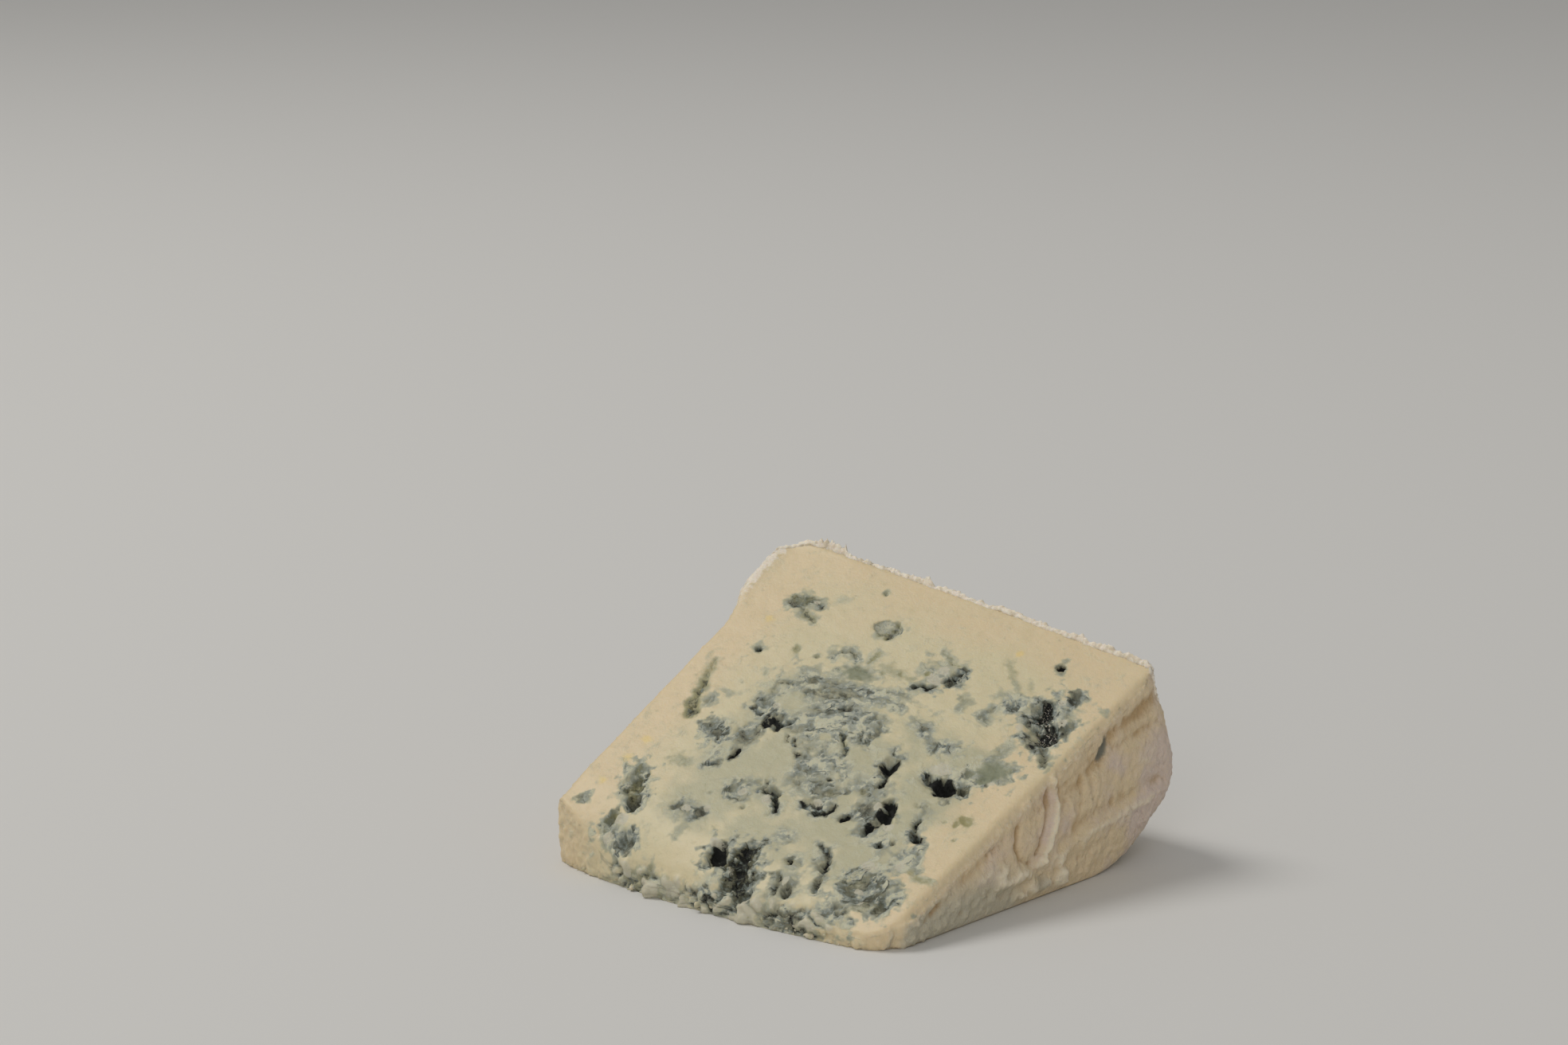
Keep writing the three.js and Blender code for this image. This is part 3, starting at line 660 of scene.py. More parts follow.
# The marbling follows arcs round a point near the middle of the cut, where the curds were pressed.
SWIRL_MIDDLE = (3.0, 24.0)
SWIRL_STRETCH = 2.6
off_across, off_along = across - SWIRL_MIDDLE[0], along - SWIRL_MIDDLE[1]
swirl = np.stack([np.hypot(off_across, off_along) + 1.8 * shift_across + 0.8 * lumps,
                  (off_across + 1.8 * shift_along) / SWIRL_STRETCH,
                  off_along / SWIRL_STRETCH + 0.3 * up + 0.6 * crumbs], axis=1)
swirl = mix(points, swirl, on_cut[:, None])
# The bloom dries into small curds with clefts between them.
clouds = rough(swirl, 4.0, 53, 4)
curds = np.abs(rough(swirl, 2.6, 57, 2))
cover = np.clip(cover + 0.14 * clouds * ease(0.05, 0.4, cover), 0, 1.2)
clefts = ease(0.14, 0.0, curds) * ease(0.3, 0.7, cover) * ease(-0.1, 0.5, rough(points, 4.4, 55, 2))
dark = np.maximum(dark, 0.5 * clefts)
relief = cover * (0.16 * rough(points, 2.6, 59, 2) - 0.6 * np.clip(curds, 0, 0.6) + 0.2) + 0.3 * clefts
lump_relief = 0.3 * ease(0.3, 0.8, dark) * lumps

# The paste is greener and duller through the marbled middle than towards the rind.
to_side = ease(-27, -16, across) * ease(38, 28, across)
ripe = to_side * ease(50, 40, along) * ease(0, 9, along)
ripe = np.clip(ripe * (0.85 + 0.7 * rough(points, 9.0, 61, 3)), 0, 1)
ripe = np.maximum(ripe, ease(0.05, 0.6, cover))

# The thin tip broke into lumps, and mould lies in the clefts between them.
near_tip = ease(7.5, 3, up) * ease(12, 6, points[:, 1]) * (1 - on_under)
near_tip = near_tip * ease(-29, -22, across) * ease(37, 27, across)
crumble = np.abs(rough(points, 3.8, 149, 2))
mouldy = near_tip * ease(-0.3, 0.4, rough(points, 7.0, 147, 2))
cover = cover * (1 - 0.5 * near_tip * ease(0.2, 0.5, crumble))
cover = np.maximum(cover, mouldy * (0.3 + 0.6 * ease(0.4, 0.1, crumble)))
dark = np.maximum(dark, 0.85 * mouldy * ease(0.16, 0.02, crumble))
pale = np.maximum(pale, near_tip * ease(0.24, 0.5, crumble))

# The underside was cut by the same knife through the same marbling, set out here by noise. A spot
# round its middle stays flat, where the wedge is mounted.
under_cover = ease(-0.1, 0.6, rough(points, 15.0, 71, 2)) * ease(HALF, HALF - 9, np.abs(points[:, 0]))
under_cover = 0.85 * under_cover * ease(88, 76, points[:, 1])
under_warp = np.stack([points[:, 0] + 1.5 * shift_across, points[:, 1] + 1.5 * shift_along, 0 * up], axis=1)
under_folds = np.abs(rough(under_warp, 7.0, 83, 3))
under_veins = ease(0.1, 0.02, under_folds) * ease(0.3, 0.7, under_cover)
under_holes = ease(0.5, 0.85, rough(points, 6.5, 89, 2)) * ease(0.15, 0.5, under_cover)
clear_middle = ease(3.0, 6.0, np.hypot(points[:, 0], points[:, 1] - TIP_TO_MIDDLE))

on_paste = np.clip(np.maximum(on_cut, on_tip), 0, 1)
cover_all = on_paste * cover + on_under * np.maximum(under_cover, under_holes)
dark_all = on_paste * dark + on_under * np.maximum(0.7 * under_veins, 0.9 * under_holes)
olive_all = on_paste * olive + on_under * 0.6 * ease(0.1, 0.6, rough(points, 9.0, 97, 2))
depth_all = on_paste * (depth + relief + lump_relief)
depth_all += on_under * clear_middle * (1.8 * under_holes + 0.5 * under_veins)

# ---- Rind on the ends and the rim ----
# The rind is a thin, pale skin that the drying cheese has drawn into soft folds. Each end has its
# own creases and ridges, set out as lines along and up, and the rim has faint folds all round.

# path of (along, up), width, height
RIGHT_LINES = (
    (((10.0, 5.4), (40.0, 18.6), (66.0, 30.0)), 2.2, -0.5),
    (((45.4, 22.4), (45.2, 18.0), (44.2, 13.0), (42.2, 9.4)), 1.2, -0.9),
    (((47.2, 25.0), (46.8, 17.0), (45.6, 11.4), (43.2, 8.2)), 1.7, 1.1),
    (((48.6, 22.0), (48.2, 16.6), (47.0, 11.8)), 1.2, -0.4),
    (((43.4, 8.2), (41.0, 6.8), (37.0, 6.2), (31.0, 6.0)), 2.0, 0.8),
    (((38.6, 14.4), (40.2, 11.4)), 5.0, 0.35),
    (((36.2, 15.6), (35.6, 12.6), (36.8, 9.4), (40.0, 7.8)), 1.3, -0.9),
    (((33.6, 14.4), (33.4, 11.6), (34.8, 8.6)), 1.8, 0.4),
    (((49.4, 10.2), (56.0, 12.8), (66.0, 14.4), (80.0, 16.4)), 3.0, -0.55),
    (((48.6, 7.4), (56.0, 9.8), (66.0, 11.4), (80.0, 13.6)), 2.4, 0.5),
    (((49.6, 17.6), (54.0, 20.2), (62.0, 23.4)), 3.2, -0.5),
    (((44.0, 4.6), (50.0, 5.2), (60.0, 6.8)), 2.0, -0.6),
    (((66.0, 25.4), (72.0, 26.8), (80.0, 28.4)), 1.8, -0.5),
    (((64.6, 28.6), (72.0, 31.0), (80.0, 33.4)), 3.4, -0.7),
    (((51.4, 18.4), (52.4, 14.8)), 1.9, 0.55),
    (((63.2, 27.4), (61.4, 24.8)), 1.2, -0.5),
    (((24.0, 8.2), (27.0, 8.8)), 2.4, 0.6),
    (((30.5, 7.6), (31.5, 8.8)), 2.0, 0.6),
    (((42.0, 3.2), (44.6, 3.8)), 3.6, 0.8),
    (((48.0, 4.2), (50.0, 4.6)), 3.0, 0.7),
    (((52.6, 17.6), (53.0, 14.0), (52.4, 11.6)), 1.4, 0.4),
    (((58.0, 19.0), (58.4, 15.4)), 1.3, 0.35),
    (((36.0, 7.0), (38.4, 7.8)), 2.4, 0.5),
)
LEFT_LINES = (
    (((12.0, 11.0), (34.0, 20.0), (58.0, 30.0), (76.0, 40.0)), 2.6, -0.5),
    (((60.0, 34.0), (57.0, 22.0), (60.0, 10.0)), 1.8, -0.8),
    (((62.4, 33.0), (59.2, 21.0), (62.4, 9.0)), 2.2, 0.6),
    (((20.0, 8.6), (36.0, 10.4), (52.0, 9.0)), 3.0, -0.5),
    (((64.0, 17.0), (74.0, 19.0), (82.0, 18.0)), 2.6, -0.5),
    (((30.0, 15.0), (38.0, 17.6), (46.0, 17.0)), 2.4, 0.5),
)
RIPPLE_SPACING = 3.3
RIM_REACH = 95.0             # from the wheel's axis to the rim's skin, for the length round it


def lined_relief(first, second, lines):
    """Height of the ridges, and depth of the creases, that follow the lines."""
    return sum(height * hill(path_distance(first, second, path), width) for path, width, height in lines)


# The lines waver, and a thicker band of skin runs under the edge of the cut.
bend_along = points[:, 1] + 0.45 * rough(points, 5.0, 101)
bend_up = up + 0.35 * rough(points, 5.0, 107)
ripples = np.sin(2 * np.pi * bend_along / RIPPLE_SPACING)
ripples *= ease(52, 57, bend_along) * ease(74, 68, bend_along) * ease(13, 16, up) * ease(25, 20, up)
ripples *= 0.6 + rough(points, 6.0, 109, 2)
right_relief = lined_relief(bend_along, bend_up, RIGHT_LINES) + 0.3 * ripples
under_cut = cut_plane(points[:, 0], points[:, 1]) - bend_up
before_rim = ease(82, 64, bend_along)
right_relief += before_rim * (0.3 * ease(4.4, 2.8, under_cut) - 0.25 * hill(under_cut - 4.8, 1.2))
right_relief -= 0.4 * before_rim * hill(under_cut - 6.0, 4.0) * ease(30, 46, bend_along)
nodules = np.clip(rough(points, 3.2, 145, 2), 0, 1) * ease(9, 5, up) * ease(22, 30, bend_along)
right_relief += 0.8 * nodules * ease(66, 54, bend_along)
left_relief = lined_relief(bend_along, bend_up, LEFT_LINES)
# The rim has faint creases that lean round it, and all the skin is finely wrinkled and striped.
around = RIM_REACH * np.arctan2(points[:, 0], points[:, 1] + AXIS_TO_TIP)
rim_spot = np.stack([around / 2.4, 0 * up, bend_up - 0.12 * around], axis=1)
rim_creases = ease(0.12, 0.0, np.abs(rough(rim_spot, 7.0, 113, 2)))
rim_creases = rim_creases * ease(0.1, 0.5, rough(points, 13.0, 117, 2))
rim_relief = 0.45 * rough(rim_spot, 5.0, 119, 2) - 0.5 * rim_creases
wrinkle_spot = np.stack([points[:, 0], points[:, 1], 0.6 * up], axis=1)
wrinkles = ease(0.16, 0.0, np.abs(rough(wrinkle_spot, 2.8, 127, 2)))
wrinkles = wrinkles * ease(-0.2, 0.5, rough(points, 8.0, 125, 2))
stripe_spot = np.stack([points[:, 0] + points[:, 1] - 0.5 * up, 0 * up, up / 5.0], axis=1)
stripes = rough(stripe_spot, 1.1, 129, 2)
crinkles = 0.42 * rough(points, 2.2, 133, 3) * ease(12, 6, up) * ease(56, 46, points[:, 1])
skin = crinkles - 0.3 * wrinkles + 0.2 * rough(points, 1.3, 131, 3)
skin = skin + 0.3 * rough(points, 7.0, 137, 2) + 0.1 * stripes
on_rim = np.clip(on_rind - on_right - on_left, 0, 1)
off_board = ease(0.3, 2.5, up)
relief_all = on_right * right_relief + on_left * left_relief + on_rim * rim_relief
relief_all = (relief_all + on_rind * skin) * off_board

# along, up: a slit where mould shows through the skin of the right end, a grey lump and a stain
SLIT = ((63.3, 27.5), (61.5, 24.7))
GREY_LUMP = (43.3, 3.4)
RUST_SPOT = (54.0, 14.0)
to_slit = path_distance(bend_along, bend_up, SLIT) * uneven ** 0.5
scar = on_right * ease(1.4, 0.4, to_slit)
lump = np.hypot(bend_along - GREY_LUMP[0], bend_up - GREY_LUMP[1])
scar = np.maximum(scar, 0.45 * on_right * ease(2.6, 0.6, lump))
rust = on_right * ease(2.6, 0.4, np.hypot(bend_along - RUST_SPOT[0], (bend_up - RUST_SPOT[1]) / 1.4))
# The skin is ashen towards the rear corner. Along the foot it is painted greyer and darker: a greenish-grey
# tinge of mould and painted shade.
ashen = on_right * ease(66, 80, points[:, 1]) * ease(30, 22, up)
ashen = np.maximum(ashen, 0.2 * on_right * ease(7, 2, np.hypot(points[:, 1] - 41, up - 11.5)))
dull_shade = on_right * ease(52, 20, points[:, 1] + 8 * rough(points, 8.0, 143, 2)) * ease(12, 4, up)

# ---- Crumbly edges ----
# The paste breaks rather than cuts where it is thin, so the tip is rough, and the rind frays into
# small flakes where the knife left it.

edge_band = 4 * on_cut * (1 - on_cut)
at_rim_edge = edge_band * ease(60, 70, points[:, 1]) * ease(0.1, 0.4, normals[:, 1])
fray = np.clip(rough(points, 1.3, 139, 2) + 0.3, 0, 1.2)
near_foot = ease(4, 1, up) * ease(14, 8, points[:, 1]) * (1 - on_under)
cut_relief = on_cut * (0.05 * rough(points, 2.2, 151, 3) + 0.12 * rough(points, 9.0, 157, 2))
edge_relief = at_rim_edge * (0.3 + 0.9 * fray) + 0.35 * (edge_band - at_rim_edge) * fray
tip_relief = near_tip * (1.8 * crumble - 0.7) + 0.4 * near_foot * rough(points, 1.6, 153, 3)

shake = np.stack([rough(points, 1.5, seed, 2) for seed in (167, 173, 179)], axis=1)
points = points + normals * (relief_all + cut_relief + edge_relief + tip_relief)[:, None]
points = points + 0.3 * np.clip(on_paste * dark, 0, 1)[:, None] * shake
carve_way = np.where(on_under[:, None] > 0.5, normals, CUT_NORMAL)
points = points - carve_way * depth_all[:, None]
points[:, 2] = np.maximum(points[:, 2], 0)
write_points(cheese.data, points)

# Near the rind the paste is peach; in the marbled middle it is a greenish ivory.
to_rind = np.minimum(HALF - np.abs(points[:, 0]), rim_line(up) - points[:, 1])
peach = ease(20, 4, to_rind) * (1 - 0.7 * ease(0.1, 0.6, cover)) + 0.3 * rough(points, 12.0, 163, 2)
peach = np.clip(peach, 0, 1)
outer_side = -HALF - LIP_OUT * corner_share(points[:, 0] + 2, points[:, 1])
lip_edge = corner_share(points[:, 0] + LIP_OUT, points[:, 1])
lip_edge = lip_edge * ease(2.6, 0.8, points[:, 0] - outer_side + crumbs)
# Along the cut's side edges a painted highlight runs where they face up, with white flecks of skin in it.
side_highlight = edge_band * (ease(-0.2, -0.6, normals[:, 0]) * fray + 0.6 * ease(0.2, 0.6, normals[:, 0]))
# The white is torn rind along the rear edge and on the curled lip, and painted highlight along the side
# edges and on the sides of the slit.
white_and_highlight = at_rim_edge * (0.5 + fray) + 0.35 * on_right * ease(2.4, 1.0, to_slit) * (1 - scar)
white_and_highlight += (0.6 * lip_edge + 0.5 * side_highlight) * ease(-0.2, 0.3, normals[:, 2])
# The rind's relief also sets its colour: creases are painted a darker brown, partly the skin's own tone and
# partly painted shade, and ridges a lighter cream as painted light.
furrow_light_and_shade = np.clip(0.5 + 0.5 * relief_all, 0, 1)

# Each mark is a number at each point, from 0 to 2, which the material reads.
MARKS = {
    "cover": cover_all, "dark": dark_all, "olive": olive_all, "ripe": ripe * on_paste,
    "pale": pale * on_paste, "warm": warm * on_paste, "glint": glint * on_paste, "film": film * on_paste,
    "peach": peach, "white_and_highlight": white_and_highlight, "rind": on_rind, "furrow_light_and_shade": furrow_light_and_shade, "scar": scar, "rust": rust,
    "ashen": ashen, "dull_shade": dull_shade,
}
for name, values in MARKS.items():
    layer = cheese.data.attributes.new(name, "FLOAT", "POINT")
    layer.data.foreach_set("value", np.clip(values, 0, 2).astype(np.float32))
swirl_layer = cheese.data.attributes.new("swirl", "FLOAT_VECTOR", "POINT")
swirl_layer.data.foreach_set("vector", swirl.astype(np.float32).ravel())

# The cut and the furrowed right end keep their small faces, and the plainer sides give theirs up.
FACE_LIMIT = 190000
PLAIN_STEPS, PLAIN_PULL = 4, 50
plain = np.clip(1 - on_cut - on_tip - 0.85 * on_right, 0, 1)
plain_group = cheese.vertex_groups.new(name="plain")
for step in range(1, PLAIN_STEPS + 1):
    chosen = np.flatnonzero(np.round(PLAIN_STEPS * plain) == step)
    plain_group.add(chosen.tolist(), step / PLAIN_STEPS, "REPLACE")
triangles = sum(len(face.vertices) - 2 for face in cheese.data.polygons)
if triangles > FACE_LIMIT:
    apply_modifier(cheese, "DECIMATE", ratio=FACE_LIMIT / triangles, vertex_group="plain",
                   vertex_group_factor=PLAIN_PULL)
cheese.data.shade_smooth()
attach(cheese, "root")
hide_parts("cheese_wedge")

# ---- Blue cheese: paste, mould and rind ----
# Paste: a moist, dense fat and curd, which lets light in a little way and has a soft sheen.
# Mould: a dry, powdery bloom, whitish where it is young, then blue-grey, and near black in the
# cracks. Rind: a dull, pinkish skin. The marks on the mesh say where each of them lies.
# Some marks paint light and shade: highlights along the cut's edges, on the rind's ridges and on crystals;
# shade in the rind's creases, along its foot and at the eye's rim.

PASTE_IOR = 1.45
PASTE_ROUGHNESS, RIND_ROUGHNESS, MOULD_ROUGHNESS = 0.46, 0.62, 0.8
LIGHT_SHARE, LIGHT_TINT = 0.3, (1.0, 0.75, 0.45)     # of the light that spreads in the paste
LIGHT_DEPTH = 0.0012         # how far it spreads, in metres
GRAIN_ROUGHNESS, BUMP_STRENGTH = 0.6, 0.8
PASTE_IVORY, PASTE_PEACH, PASTE_GREEN = "d2c7a3", "dac7a2", "b4b193"
# The white is for torn flakes of rind and for painted highlights.
STAIN_OLIVE, SPECK_BUTTER, FLAKE_AND_HIGHLIGHT_WHITE, BLOB_PALE = "8a8550", "e0c98e", "e9dfcf", "c5c0ab"
FILM_GREEN, HAZE_GREY = "80846a", "969c8f"
# The mould's shades, from the black of a crack to the white of young bloom.
MOULD_SHADES = ((0.0, "090b07"), (0.14, "191c14"), (0.32, "464b41"), (0.48, "69716b"),
                (0.64, "888f8a"), (0.8, "a5a99d"), (1.0, "c9c7ae"))
# The brown paints shade in the rind's creases, partly the skin's own tone, and the cream paints light on its
# ridges.
RIND_BEIGE, RIND_PINK, RIND_SHADE_BROWN, RIND_LIGHT_CREAM = "dcc8a5", "d6c4b5", "b39468", "e8dcc2"
# The dull grey paints shade along the foot of the right end, with a greenish-grey tinge of mould.
RIND_DULL_SHADE, RIND_RUST, SCAR_GREY = "bdb6a0", "c39a68", "5a625c"
DARKEST_TONE, MIDDLE_TONE = -1.54, 0.6
# How much of each layer's colour shows where it is fullest.
FULLEST = {"bloom": 0.86, "stain": 0.7, "haze": 0.6, "tint": 0.85, "blob": 0.8, "film": 0.85, "rust": 0.15,
           "scar": 0.85}


def linear(hex_colour):
    """A colour given in sRGB, as the shader's linear light."""
    parts = [int(hex_colour[i:i + 2], 16) / 255 for i in (0, 2, 4)]
    return tuple(p / 12.92 if p <= 0.04045 else ((p + 0.055) / 1.055) ** 2.4 for p in parts) + (1.0,)


def add_node(tree, kind, inputs=(), **settings):
    """Adds a node, sets what it is told and links what is given as a socket."""
    node = tree.nodes.new(kind)
    for name, value in settings.items():
        setattr(node, name, value)
    for socket, value in dict(inputs).items():
        if isinstance(value, bpy.types.NodeSocket):
            tree.links.new(value, node.inputs[socket])
        else:
            node.inputs[socket].default_value = value
    return node


def finish_surface(piece, finish, inputs):
    """Gives a piece a material whose surface lets a little light in, as all parts of a cheese do."""
    surface = {"IOR": PASTE_IOR, "Subsurface Weight": LIGHT_SHARE, "Subsurface Scale": LIGHT_DEPTH,
               "Subsurface Radius": LIGHT_TINT, **inputs}
    shader = add_node(finish.node_tree, "ShaderNodeBsdfPrincipled", surface)
    add_node(finish.node_tree, "ShaderNodeOutputMaterial", {"Surface": shader.outputs[0]})
    piece.data.materials.clear()
    piece.data.materials.append(finish)


cheese_finish = bpy.data.materials.new("blue_cheese")
cheese_finish.use_nodes = True
tree = cheese_finish.node_tree
tree.nodes.clear()
place = add_node(tree, "ShaderNodeTexCoord").outputs["Object"]
along_swirl = add_node(tree, "ShaderNodeAttribute", attribute_name="swirl").outputs["Vector"]
marks = {name: add_node(tree, "ShaderNodeAttribute", attribute_name=name).outputs["Fac"] for name in MARKS}

# Grains: the place they follow, the size of one bump in millimetres and the finer detail in it.
# The swirl is in millimetres and the object's own place is in metres.
GRAINS = {
    "cloud": (along_swirl, 1.0, 3.6, 4.0),
    "mottle": (place, MM, 1.7, 3.0),
    "squiggle": (along_swirl, 1.0, 4.0, 3.0),
    "break": (place, MM, 3.1, 2.0),
    "blush": (place, MM, 9.0, 3.0),
    "powder": (place, MM, 0.55, 4.0),
    "speck": (place, MM, 0.35, 2.0),
}
grains = {}
for name, (follows, unit, size, detail) in GRAINS.items():
    grains[name] = add_node(tree, "ShaderNodeTexNoise", {"Vector": follows, "Scale": 1 / (size * unit),
                            "Detail": detail, "Roughness": GRAIN_ROUGHNESS}).outputs["Fac"]

# Each share of colour: the marks and grains it adds up, and the sums between which it comes in.
SHARES = {
    "tint": (((marks["ripe"], 1.0), (grains["cloud"], 0.8)), 0.4, 1.2),
    "bloom": (((marks["cover"], 1.0), (marks["olive"], -0.25), (grains["cloud"], 1.8),
               (grains["mottle"], 1.2)), 1.55, 2.45),
    "black": (((marks["dark"], 1.0), (grains["powder"], 1.0), (grains["mottle"], 1.0)), 1.25, 1.85),
    "blob": (((marks["pale"], 1.0), (grains["powder"], 1.0)), 0.8, 1.3),
    "stain": (((marks["olive"], 1.0), (grains["mottle"], 1.6)), 0.8, 2.1),
    "haze": (((marks["cover"], 1.0), (grains["cloud"], 0.9), (grains["mottle"], 0.5)), 0.75, 1.9),
    # White torn rind, and painted highlights along the edges and round the slit.
    "flake_and_highlight": (((marks["white_and_highlight"], 1.0), (grains["powder"], 1.0)), 0.7, 1.2),
    "blush": (((grains["blush"], 1.0), (marks["ashen"], 0.3)), 0.46, 0.78),
    # Painted shade in the rind's creases and painted light on its ridges, from the height of the relief.
    "crease_shade": (((marks["furrow_light_and_shade"], -1.0), (grains["powder"], 0.2)), -0.3, 0.25),
    "ridge_light": (((marks["furrow_light_and_shade"], 1.0), (grains["powder"], 0.2)), 0.65, 1.1),
    "broken": (((grains["break"], 1.0), (marks["cover"], 0.3)), 0.66, 0.8),
    # Painted highlights: small white points where crystals glint in the dark pockets.
    "crystal_glint": (((grains["speck"], 1.0),), 0.6, 0.66),
}
shares = {}
for name, (terms, start, end) in SHARES.items():
    total = 0.0
    for socket, weight in terms:
        total = add_node(tree, "ShaderNodeMath", {0: socket, 1: weight, 2: total},
                         operation="MULTIPLY_ADD").outputs[0]
    shares[name] = add_node(tree, "ShaderNodeMapRange", {"Value": total, "From Min": start, "From Max": end},
                            interpolation_type="SMOOTHSTEP").outputs["Result"]

# Thin dark cracks wander through the bloom where the noise crosses its middle.
off_middle = add_node(tree, "ShaderNodeMath", {0: grains["squiggle"], 1: 0.5},
                      operation="SUBTRACT").outputs[0]
off_middle = add_node(tree, "ShaderNodeMath", {0: off_middle}, operation="ABSOLUTE").outputs[0]
crack = add_node(tree, "ShaderNodeMapRange", {"Value": off_middle, "From Min": 0.05, "From Max": 0.01},
                 interpolation_type="SMOOTHSTEP").outputs["Result"]
bare = add_node(tree, "ShaderNodeMath", {0: 1.0, 1: marks["film"]}, operation="SUBTRACT").outputs[0]
for share in (shares["broken"], shares["bloom"], bare):
    crack = add_node(tree, "ShaderNodeMath", {0: crack, 1: share}, operation="MULTIPLY").outputs[0]

# How light the mould is, from its mottling, its cracks and the depth of its pockets.
tone = DARKEST_TONE
TONE_TERMS = ((grains["mottle"], 1.8), (grains["cloud"], 2.8), (crack, -0.4), (marks["dark"], -0.8))
for socket, weight in TONE_TERMS:
    tone = add_node(tree, "ShaderNodeMath", {0: socket, 1: weight, 2: tone},
                    operation="MULTIPLY_ADD").outputs[0]
mould = add_node(tree, "ShaderNodeValToRGB", {"Fac": tone})
while len(mould.color_ramp.elements) < len(MOULD_SHADES):
    mould.color_ramp.elements.new(0.5)
for stop, (position, shade) in zip(mould.color_ramp.elements, MOULD_SHADES):
    stop.position = position
    stop.color = linear(shade)

# The layers of colour, each over the ones before it.
layers = {**marks, **shares}
for name, most in FULLEST.items():
    layers[name] = add_node(tree, "ShaderNodeMath", {0: layers[name], 1: most},
                            operation="MULTIPLY").outputs[0]
bloom = add_node(tree, "ShaderNodeMath", {0: layers["bloom"], 1: layers["black"]},
                 operation="MAXIMUM").outputs[0]
# Painted glints of light on the crystals in the dark pockets.
crystal_glint = add_node(tree, "ShaderNodeMath", {0: layers["crystal_glint"], 1: layers["glint"]},
                   operation="MULTIPLY").outputs[0]
skin = linear(RIND_BEIGE)
RIND_LAYERS = (("blush", RIND_PINK), ("dull_shade", RIND_DULL_SHADE), ("crease_shade", RIND_SHADE_BROWN), ("ridge_light", RIND_LIGHT_CREAM),
               ("rust", RIND_RUST), ("scar", SCAR_GREY))
for name, shade in RIND_LAYERS:
    skin = add_node(tree, "ShaderNodeMix", {0: layers[name], 6: skin, 7: linear(shade)},
                    data_type="RGBA").outputs[2]

colour = linear(PASTE_IVORY)
LAYERS = (
    (layers["peach"], linear(PASTE_PEACH)),
    (layers["tint"], linear(PASTE_GREEN)),
    (layers["warm"], linear(SPECK_BUTTER)),
    (layers["haze"], linear(HAZE_GREY)),
    (layers["stain"], linear(STAIN_OLIVE)),
    (bloom, mould.outputs["Color"]),
    (layers["blob"], linear(BLOB_PALE)),
    (layers["film"], linear(FILM_GREEN)),
    (crystal_glint, linear(FLAKE_AND_HIGHLIGHT_WHITE)),
    (layers["rind"], skin),
    (layers["flake_and_highlight"], linear(FLAKE_AND_HIGHLIGHT_WHITE)),
)
for share, pigment in LAYERS:
    colour = add_node(tree, "ShaderNodeMix", {0: share, 6: colour, 7: pigment}, data_type="RGBA").outputs[2]

roughness = add_node(tree, "ShaderNodeMix", {0: bloom, 2: PASTE_ROUGHNESS, 3: MOULD_ROUGHNESS}).outputs[0]
roughness = add_node(tree, "ShaderNodeMix", {0: marks["rind"], 2: roughness, 3: RIND_ROUGHNESS}).outputs[0]

# Fine relief, too small for the mesh: cracks go in, lumps of mould stand out, and the rind is wrinkled.
hollow = add_node(tree, "ShaderNodeMath", {0: crack, 1: -1.0}, operation="MULTIPLY").outputs[0]
raised = add_node(tree, "ShaderNodeMath", {0: tone, 1: MIDDLE_TONE}, operation="SUBTRACT").outputs[0]
for share in (bloom, bare):
    raised = add_node(tree, "ShaderNodeMath", {0: raised, 1: share}, operation="MULTIPLY").outputs[0]
wrinkled = add_node(tree, "ShaderNodeMath", {0: grains["mottle"], 1: marks["rind"]},
                    operation="MULTIPLY").outputs[0]
bump = add_node(tree, "ShaderNodeBump", {"Height": grains["speck"], "Strength": 0.5,
                "Distance": 0.04 * MM}).outputs["Normal"]
for height, distance in ((grains["powder"], 0.1), (raised, 0.3), (hollow, 0.12), (wrinkled, 0.6)):
    bump = add_node(tree, "ShaderNodeBump", {"Height": height, "Strength": BUMP_STRENGTH,
                    "Distance": distance * MM, "Normal": bump}).outputs["Normal"]

finish_surface(cheese, cheese_finish, {"Base Color": colour, "Roughness": roughness, "Normal": bump})

# ---- Torn frill of rind and crumbs at the tip ----
# Where the knife came out through the dry rind it tore a thin white frill, which stands up along
# the rear edge and round the left corner. It is a rough strip, sunk into the edge. Moist crumbs of
# paste stuck along the broken tip.

FRILL_CUTS = (640, 3, 3)
SIDE_STEPS, REAR_STEPS, DOWN_STEPS = 80, 260, 60
CORNER_WAY = (0.8, 0.6, 0)             # outward at the rear right corner, where the line turns down
FRILL_OUT, FRILL_UP = 2.0, 4.0         # from the line of the edge to where its crest is looked for
FRILL_WIDE, FRILL_HIGH = 0.75, 0.7     # half the strip's width and height, before it is roughened
FRILL_SINK = 0.55                      # how deep the strip's middle lies under the crest
# across, length, height: the flakes that stand tallest
TALL_FLAKES = ((-36.6, 6.0, 1.6), (-32.6, 3.0, 1.4), (-29.0, 3.0, 0.4), (-11.4, 1.6, 1.9), (-8.4, 2.0, 0.7),
               (14.0, 3.0, 0.4), (22.5, 3.0, 0.5), (29.0, 2.4, 0.4), (37.0, 2.4, 0.6))
CRUMB_COUNT, CRUMB_SIDES, CRUMB_ROUGHNESS = 18, 6, 0.6
CRUMB_SMALLEST, CRUMB_SPREAD = 0.4, 0.3
CRUMB_CUT, CRUMB_REACH = 0.62, 1.2     # how far in its flat sides lie, and how far out its corners
CRUMB_TONE, FRILL_TONE, MOTTLE_TONE = "b9b395", "ece1d0", "d3c7b0"


def finish_piece(piece):
    """Smooths a piece that dresses the wedge, and says which body it belongs to."""
    piece.data.shade_smooth()
    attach(piece, "root")


def line_reach(line):
    """How far along a line each of its points lies."""
    return np.cumsum(np.linalg.norm(np.diff(line, axis=0, prepend=line[:1]), axis=1))


